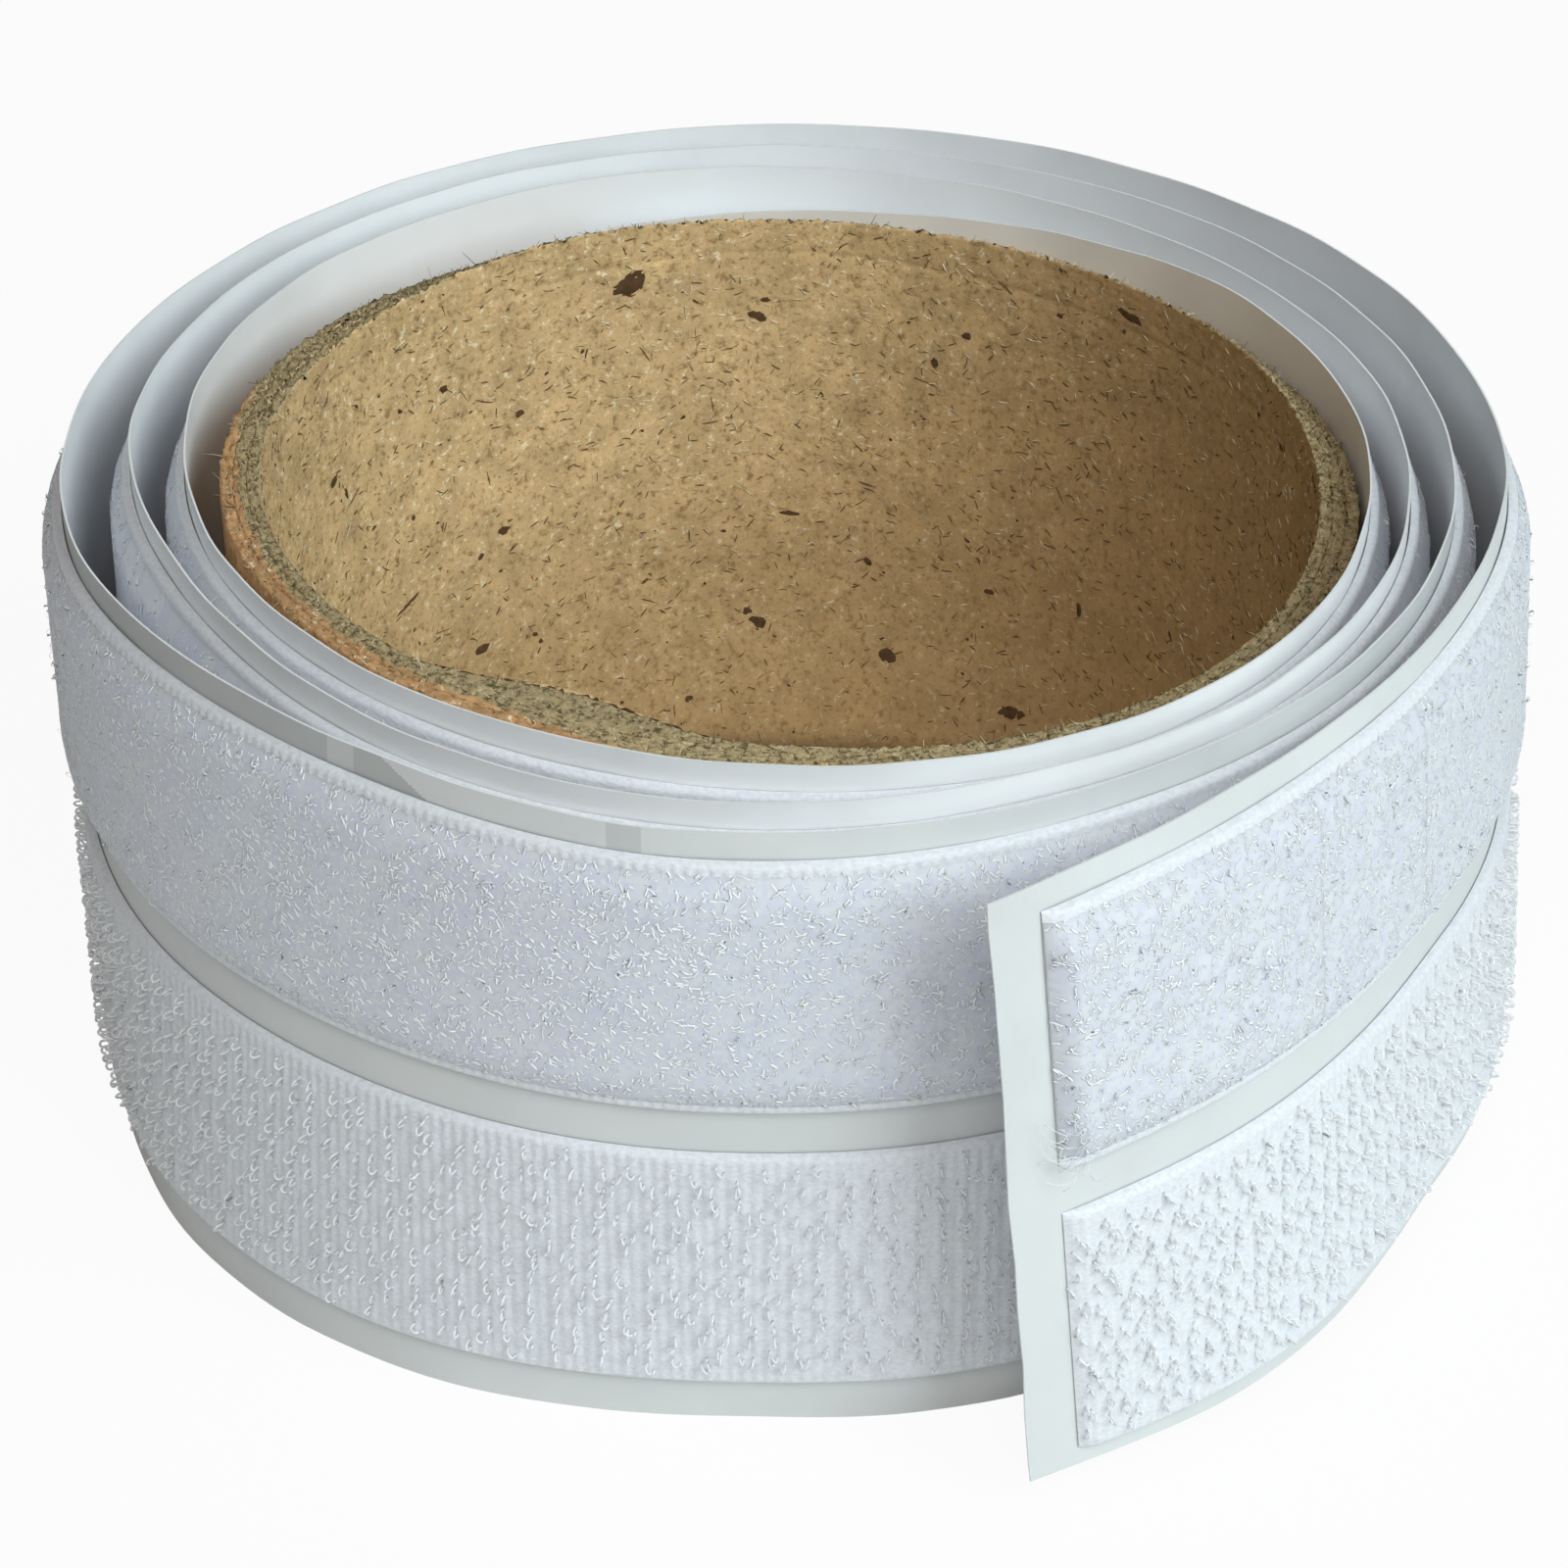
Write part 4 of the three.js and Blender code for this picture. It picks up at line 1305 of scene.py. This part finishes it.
def hook_shape(winding, start, stop, span, pile, rng):
    """Rows of hooks and their cut stubs across a stretch of the hook strip, facing either way."""
    w = winding
    low, high = span[0] + w.s.hook_selvage, span[1] - w.s.hook_selvage
    begin, finish = np.interp([start, stop], w.table, w.lengths)
    rows = np.arange(round((finish - begin) / pile.hook_row_pitch))
    places = np.arange(round((high - low) / pile.hook_pitch))
    row, place = (a.ravel() for a in np.meshgrid(rows, places, indexing="ij"))
    count = len(row)
    along = begin + (row + 0.5) * (finish - begin) / len(rows)
    along = along + rng.normal(0, HOOK_STRAY_ALONG, count)
    height = low + (place + 0.25 + 0.5 * (row % 2)) * pile.hook_pitch
    height = height + rng.normal(0, HOOK_STRAY_UP, count)
    crook = pile.hook_crook * rng.uniform(0.85, 1.15, count)[:, None]
    tall = pile.hook_height * rng.uniform(0.9, 1.06, count)[:, None]
    facing = math.pi / 2 * np.where(place % 2, 1, -1) + rng.normal(0, 0.45, count)
    tip = HOOK_TURN * rng.uniform(0.85, 1.1, count)[:, None]
    stem = np.linspace(0, 1, HOOK_STEM_RINGS)[None, :-1]
    bend = math.pi - tip * np.linspace(0, 1, HOOK_CROOK_RINGS)
    reach = np.concatenate([-crook * np.ones_like(stem), crook * np.cos(bend)], axis=1)
    rise = np.concatenate([stem * (tall - crook), tall - crook + crook * np.sin(bend)], axis=1)
    lean = rng.normal(0, 0.12, count)[:, None]
    one = reach * np.cos(facing)[:, None] + lean * rise
    two = reach * np.sin(facing)[:, None]
    at = np.interp(along[:, None] + one, w.lengths, w.table)
    foot = w.pile_depth - HOOK_SINK
    paths = w.points(at, height[:, None] + two, pressed(w, at, foot + rise))
    outward = paths[:, 1] - paths[:, 0]
    over = paths[:, HOOK_STEM_RINGS + 2] - paths[:, 0]
    across = np.cross(outward, over)
    across /= np.linalg.norm(across, axis=1, keepdims=True)
    thick = np.full(paths.shape[:2], pile.hook_radius)
    thick[:, -1] *= HOOK_TIP
    shape = Shape()
    add_tubes(shape, paths, across, thick, HOOK_SIDES, rng.integers(0, 2, count))
    rise = STUB_SHARE * tall * rng.uniform(0.7, 1.2, count)[:, None]
    rise = rise * np.linspace(0, 1, STUB_RINGS)
    reach = STUB_STEP * crook + STUB_LEAN * lean * rise
    at = np.interp(along[:, None] + reach * np.cos(facing)[:, None], w.lengths, w.table)
    high = height[:, None] + reach * np.sin(facing)[:, None]
    stubs = w.points(at, high, pressed(w, at, foot + rise))
    add_tubes(shape, stubs, across, pile.hook_radius, HOOK_SIDES, rng.integers(0, 2, count))
    return shape


# Operators


def settings(context):
    """Sizes, pile and colours of the scene, and the winding they give."""
    scene = context.scene
    sizes, pile, colours = scene.tape_roll_sizes, scene.tape_roll_pile, scene.tape_roll_colours
    return Winding(sizes), pile, colours


def dress(piece, stretch, winding, node=None):
    """Lets a piece follow its stretch of the band, in place of a node."""
    stretch.hold(piece, winding)
    if node:
        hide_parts(node)


class TAPEROLL_OT_stage(bpy.types.Operator):
    """Makes the floor, the lamps, the world and the camera"""

    bl_idname = "tape_roll.stage"
    bl_label = "Stage"

    def execute(self, context):
        winding, _, _ = settings(context)
        make_floor(winding)
        make_lamps()
        make_world(context.scene)
        make_camera(context.scene)
        context.scene.view_settings.view_transform = "Standard"
        return {"FINISHED"}


FLOOR_REACH = 6.0
FLOOR_TINT = (0.86, 0.86, 0.85, 1)
FLOOR_ROUGHNESS = 0.9
FLOOR_LIFT = 0.93
CAMERA_PLACE = (-0.0014, -0.2552, 0.1885)
CAMERA_PITCH = math.radians(33.65)
CAMERA_LENS = 90
CAMERA_SENSOR = 36
CAMERA_NEAR = 0.01
KEY_PLACE = (0.69, -0.58, 0.656)
KEY_SIZE = 0.9
KEY_POWER = 9.9
KEY_TINT = (0.87, 0.975, 1.0)
FILL_PLACE = (-0.1, -0.7, 0.868)
FILL_SIZE = 0.6
FILL_POWER = 4.0
FILL_TINT = (0.98, 0.95, 0.94)
LAMP_TARGET = (0, 0, 0.025)
WORLD_LEVEL = 0.09
WORLD_TINT = (1.0, 0.93, 0.8)


def math_node(tree, operation, first, second):
    """Arithmetic on two values: the first is a socket, the second a socket or a plain number."""
    node = tree.nodes.new("ShaderNodeMath")
    node.operation = operation
    tree.links.new(first, node.inputs[0])
    if isinstance(second, bpy.types.NodeSocket):
        tree.links.new(second, node.inputs[1])
    else:
        node.inputs[1].default_value = second
    return node.outputs[0]


def show(tree, factor, usual, other, output):
    """Shows one shader as a rule, and another by a factor."""
    mix = tree.nodes.new("ShaderNodeMixShader")
    for socket, value in zip(mix.inputs, (factor, usual.outputs[0], other.outputs[0])):
        tree.links.new(value, socket)
    tree.links.new(mix.outputs[0], tree.nodes[output].inputs["Surface"])


def make_floor(winding):
    """A pale floor, white to the camera around the roll, that keeps a soft shadow."""
    shape = Shape()
    corners = np.array([[-1, -1, 0], [1, -1, 0], [1, 1, 0], [-1, 1, 0]]) * FLOOR_REACH
    shape.add(corners, [np.array([[0, 1, 2, 3]])])
    material, tree, shader = finish_of("floor_white", FLOOR_ROUGHNESS)
    shader.inputs["Base Color"].default_value = FLOOR_TINT
    glow = tree.nodes.new("ShaderNodeEmission")
    path = tree.nodes.new("ShaderNodeLightPath")
    place = tree.nodes.new("ShaderNodeNewGeometry")
    from_axis = tree.nodes.new("ShaderNodeVectorMath")
    from_axis.operation = "DISTANCE"
    from_axis.inputs[1].default_value = (*winding.axis, 0.0)
    tree.links.new(place.outputs["Position"], from_axis.inputs[0])
    around = math_node(tree, "GREATER_THAN", from_axis.outputs["Value"], winding.core_radius)
    lifted = math_node(tree, "MULTIPLY", around, FLOOR_LIFT)
    seen = math_node(tree, "MULTIPLY", path.outputs["Is Camera Ray"], lifted)
    show(tree, seen, shader, glow, "Material Output")
    shape.build("floor", material)


def make_lamp(name, place, size, power, tint):
    """A soft round lamp, pointing at the roll."""
    data = bpy.data.lights.new(name, "AREA")
    data.shape = "DISK"
    data.size = size
    data.energy = power
    data.color = tint
    lamp = bpy.data.objects.new(name, data)
    bpy.context.scene.collection.objects.link(lamp)
    lamp.location = place
    way = Vector(LAMP_TARGET) - Vector(place)
    lamp.rotation_euler = way.to_track_quat("-Z", "Y").to_euler()


def make_lamps():
    """A broad soft lamp from the front right and a weaker one from the front, high up."""
    make_lamp("key_lamp", KEY_PLACE, KEY_SIZE, KEY_POWER, KEY_TINT)
    make_lamp("fill_lamp", FILL_PLACE, FILL_SIZE, FILL_POWER, FILL_TINT)


def make_world(scene):
    """Even pale light all round, and a plain light grey to the camera."""
    world = bpy.data.worlds.new("studio")
    scene.world = world
    world.use_nodes = True
    tree = world.node_tree
    back = tree.nodes["Background"]
    back.inputs["Color"].default_value = (*WORLD_TINT, 1)
    back.inputs["Strength"].default_value = WORLD_LEVEL
    pale = tree.nodes.new("ShaderNodeBackground")
    pale.inputs["Strength"].default_value = 1.0
    path = tree.nodes.new("ShaderNodeLightPath")
    show(tree, path.outputs["Is Camera Ray"], back, pale, "World Output")


def make_camera(scene):
    """The camera, in front of the roll and above it."""
    data = bpy.data.cameras.new("camera")
    data.lens = CAMERA_LENS
    data.sensor_width = CAMERA_SENSOR
    data.clip_start = CAMERA_NEAR
    camera = bpy.data.objects.new("camera", data)
    camera.location = CAMERA_PLACE
    camera.rotation_euler = (math.pi / 2 - CAMERA_PITCH, 0, 0)
    scene.collection.objects.link(camera)
    scene.camera = camera


class TAPEROLL_OT_core(bpy.types.Operator):
    """Makes the chipboard core: three plies, torn fibres, pressed fibres and flecks"""

    bl_idname = "tape_roll.core"
    bl_label = "Core"

    def execute(self, context):
        winding, pile, colours = settings(context)
        finishes = (
            board_finish(colours, "chipboard", colours.board),
            edge_finish(colours, "chipboard_edge"),
            board_finish(colours, "chipboard_outside", colours.board_outer),
            # Painted shadow: the dark line along the lip's inner edge, in the bark fleck's colour
            plain_board_finish("chipboard_painted_shadow", colours.fleck),
        )
        for ply, name in enumerate(("inner", "middle", "outer")):
            shape = ply_shape(winding, ply, draws(pile, 10 + ply))
            self.seat(shape.build(f"board_{name}_ply", *finishes), f"core_{name}_ply")
        edge = plain_board_finish("rim_fibre", colours.board_edge)
        gloom = plain_board_finish("rim_shade", colours.edge_dark)
        straw = plain_board_finish("straw_fibre", colours.straw)
        bark = plain_board_finish("dark_fibre", colours.bark)
        pulp = plain_board_finish("pulp_fibre", colours.board)
        fleck = plain_board_finish("bark_fleck", colours.fleck, 0.7)
        rim = rim_fibre_shape(winding, pile.rim_fibres, draws(pile, 13))
        self.seat(rim.build("rim_fibres", edge, gloom, straw))
        wall = wall_fibre_shape(winding, pile.wall_fibres, draws(pile, 14))
        self.seat(wall.build("bore_fibres", straw, bark, pulp))
        flecks = fleck_shape(winding, pile.wall_flecks, draws(pile, 15))
        self.seat(flecks.build("bore_flecks", fleck))
        return {"FINISHED"}

    def seat(self, piece, *nodes):
        """Lets a piece ride on the core."""
        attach(piece, "core")
        if nodes:
            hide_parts(*nodes)


# Painted shade: the levels of the liner's dim and dimmer copies, for the open margin where nothing pale
# backs the paper
DIM_LEVEL, DIMMER_LEVEL = 0.84, 0.7


class TAPEROLL_OT_liner(bpy.types.Operator):
    """Makes the paper liner, cut where its links bend"""

    bl_idname = "tape_roll.liner"
    bl_label = "Liner"

    def execute(self, context):
        winding, _, colours = settings(context)
        finishes = (
            paper_finish("liner_paper", colours.paper),
            # Painted shade: dim and dimmer copies of the outer paper
            paper_finish("liner_paper_dim", colours.paper, DIM_LEVEL),
            paper_finish("liner_paper_dimmer", colours.paper, DIMMER_LEVEL),
            # Partly painted light: the paler finish of the inner face, the paper's edges and the inner
            # turns' outer faces
            paper_finish("liner_paper_inside", colours.paper_inside),
            # Painted light: the warm pale paper of the innermost turn
            paper_finish("liner_paper_lit_through", colours.paper_lit_through),
        )
        for stretch in liner_stretches(winding):
            piece = liner_shape(winding, stretch).build(f"paper_{stretch.name}", *finishes)
            node = f"liner_{stretch.nodes}" if stretch.nodes else None
            dress(piece, stretch, winding, node)
        return {"FINISHED"}


class TAPEROLL_OT_strips(bpy.types.Operator):
    """Makes the woven ground and the glue film of both strips"""

    bl_idname = "tape_roll.strips"
    bl_label = "Woven strips"

    def execute(self, context):
        winding, pile, colours = settings(context)
        glue = glue_finish(colours)
        for strip, span in (("loop", winding.loop_span), ("hook", winding.hook_span)):
            weave = weave_finish(colours, f"{strip}_weave")
            for stretch in strip_stretches(winding, strip):
                shape = weave_shape(winding, stretch, span, pile)
                piece = shape.build(f"{strip}_weave_{stretch.name}", weave)
                dress(piece, stretch, winding, f"{strip}_ground_{stretch.nodes}")
                shape = glue_shape(winding, stretch, span)
                film = shape.build(f"{strip}_glue_{stretch.name}", glue)
                dress(film, stretch, winding, f"{strip}_adhesive_{stretch.nodes}")
                cut = (span[1] - span[0], winding.distance(stretch.start, stretch.stop))
        return {"FINISHED"}


COIL_SECTORS = 7
HIDDEN_BED_STEP = 1.5 * MM
INNER_START = 0.01
INNER_TALLEST = 1.6


def open_sectors(winding, stop):
    """The coil's open turn, in sectors of equal length."""
    return np.linspace(visible_start(winding), stop, COIL_SECTORS + 1)


class TAPEROLL_OT_loops(bpy.types.Operator):
    """Makes the loops of the upper strip"""

    bl_idname = "tape_roll.loops"
    bl_label = "Loops"

    def execute(self, context):
        winding, pile, colours = settings(context)
        yarns = yarn_finishes("loop_bed", colours.loop_bed, 0.5, LOOP, 0.1, 0.6)
        yarns.append(yarn_finish("loop_yarn", tuple(colours.loop), 0.4, 0.2, 0.0))
        # Painted highlight: the finish of the glinting loops
        yarns.append(yarn_finish("loop_painted_glint", tuple(colours.glint), 0.3, 0.3, 0.0))
        edge = winding.s.loop_selvage
        low, high = winding.loop_span[0] + edge, winding.loop_span[1] - edge
        for number_of_piece, stretch in enumerate(strip_stretches(winding, "loop")):
            rng = draws(pile, 50 + number_of_piece)
            if stretch.name == "coil":
                opens = visible_start(winding)
                start, step = INNER_START, HIDDEN_BED_STEP
                shape = bed_shape(winding, start, opens, low, high, step, pile, rng)
                top = winding.loop_span[1] - pile.inner_loop_reach
                add_loops(shape, winding, start, opens, top, high, pile.inner_loop_density,
                          INNER_TALLEST * pile.loop_height, pile, rng)
            else:
                start, stop = stretch.start, stretch.stop
                shape = bed_shape(winding, start, stop, low, high, pile.bed_step, pile, rng)
                add_loops(shape, winding, start, stop, low, high, pile.loop_density,
                          pile.loop_height_most, pile, rng)
            if stretch.name == "flap":
                add_stray_yarns(shape, winding, rng)
            piece = shape.build(f"loops_{stretch.name}", *yarns)
            dress(piece, stretch, winding, f"loop_pile_{stretch.nodes}")
            if stretch.name == "coil":
                rng = draws(pile, 60)
                bed = bed_shape(winding, opens, stretch.stop, low, high, pile.bed_step, pile, rng)
                dress(bed.build("loop_bed_open", *yarns), stretch, winding)
                cuts = open_sectors(winding, stretch.stop)
                for sector in range(COIL_SECTORS):
                    shape = Shape()
                    add_loops(shape, winding, cuts[sector], cuts[sector + 1], low, high,
                              pile.loop_density, pile.loop_height_most, pile, draws(pile, 61 + sector))
                    piece = shape.build(f"loops_open_{sector + 1}", *yarns)
                    dress(piece, stretch, winding)
        return {"FINISHED"}


class TAPEROLL_OT_hooks(bpy.types.Operator):
    """Makes the hooks of the lower strip"""

    bl_idname = "tape_roll.hooks"
    bl_label = "Hooks"

    def execute(self, context):
        winding, pile, colours = settings(context)
        filaments = yarn_finishes("hook_filament", colours.hook, 0.2, 2, 0.15, 0.8)
        span = winding.hook_span
        for number_of_piece, stretch in enumerate(strip_stretches(winding, "hook")):
            start, stop = stretch.start, stretch.stop
            if stretch.name == "coil":
                start = visible_start(winding)
                stop = (start + stretch.stop) / 2
            shape = hook_shape(winding, start, stop, span, pile, draws(pile, 70 + number_of_piece))
            piece = shape.build(f"hooks_{stretch.name}", *filaments)
            dress(piece, stretch, winding, f"hook_field_{stretch.nodes}")
            if stretch.name == "coil":
                shape = hook_shape(winding, stop, stretch.stop, span, pile, draws(pile, 80))
                dress(shape.build("hooks_front", *filaments), stretch, winding)
        return {"FINISHED"}


class TAPEROLL_PT_panel(bpy.types.Panel):
    """Lists the steps that build the roll"""

    bl_label = "Tape roll"
    bl_idname = "TAPEROLL_PT_panel"
    bl_space_type = "VIEW_3D"
    bl_region_type = "UI"
    bl_category = "Tape roll"

    def draw(self, context):
        for operator in OPERATORS:
            self.layout.operator(operator.bl_idname)


OPERATORS = (
    TAPEROLL_OT_stage,
    TAPEROLL_OT_core,
    TAPEROLL_OT_liner,
    TAPEROLL_OT_strips,
    TAPEROLL_OT_loops,
    TAPEROLL_OT_hooks,
)
GROUPS = (
    ("tape_roll_sizes", TapeRollSizes),
    ("tape_roll_pile", TapeRollPile),
    ("tape_roll_colours", TapeRollColours),
)


def register():
    """Registers the property groups, the operators and the panel."""
    for name, group in GROUPS:
        bpy.utils.register_class(group)
        setattr(bpy.types.Scene, name, PointerProperty(type=group))
    for cls in (*OPERATORS, TAPEROLL_PT_panel):
        bpy.utils.register_class(cls)


def unregister():
    """Takes away what register added."""
    for cls in (TAPEROLL_PT_panel, *reversed(OPERATORS)):
        bpy.utils.unregister_class(cls)
    for name, group in reversed(GROUPS):
        delattr(bpy.types.Scene, name)
        bpy.utils.unregister_class(group)


def main():
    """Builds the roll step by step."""
    register()
    bpy.ops.tape_roll.stage()
    bpy.ops.tape_roll.core()
    bpy.ops.tape_roll.liner()
    bpy.ops.tape_roll.strips()
    bpy.ops.tape_roll.loops()
    bpy.ops.tape_roll.hooks()


if __name__ == "__main__":
    main()
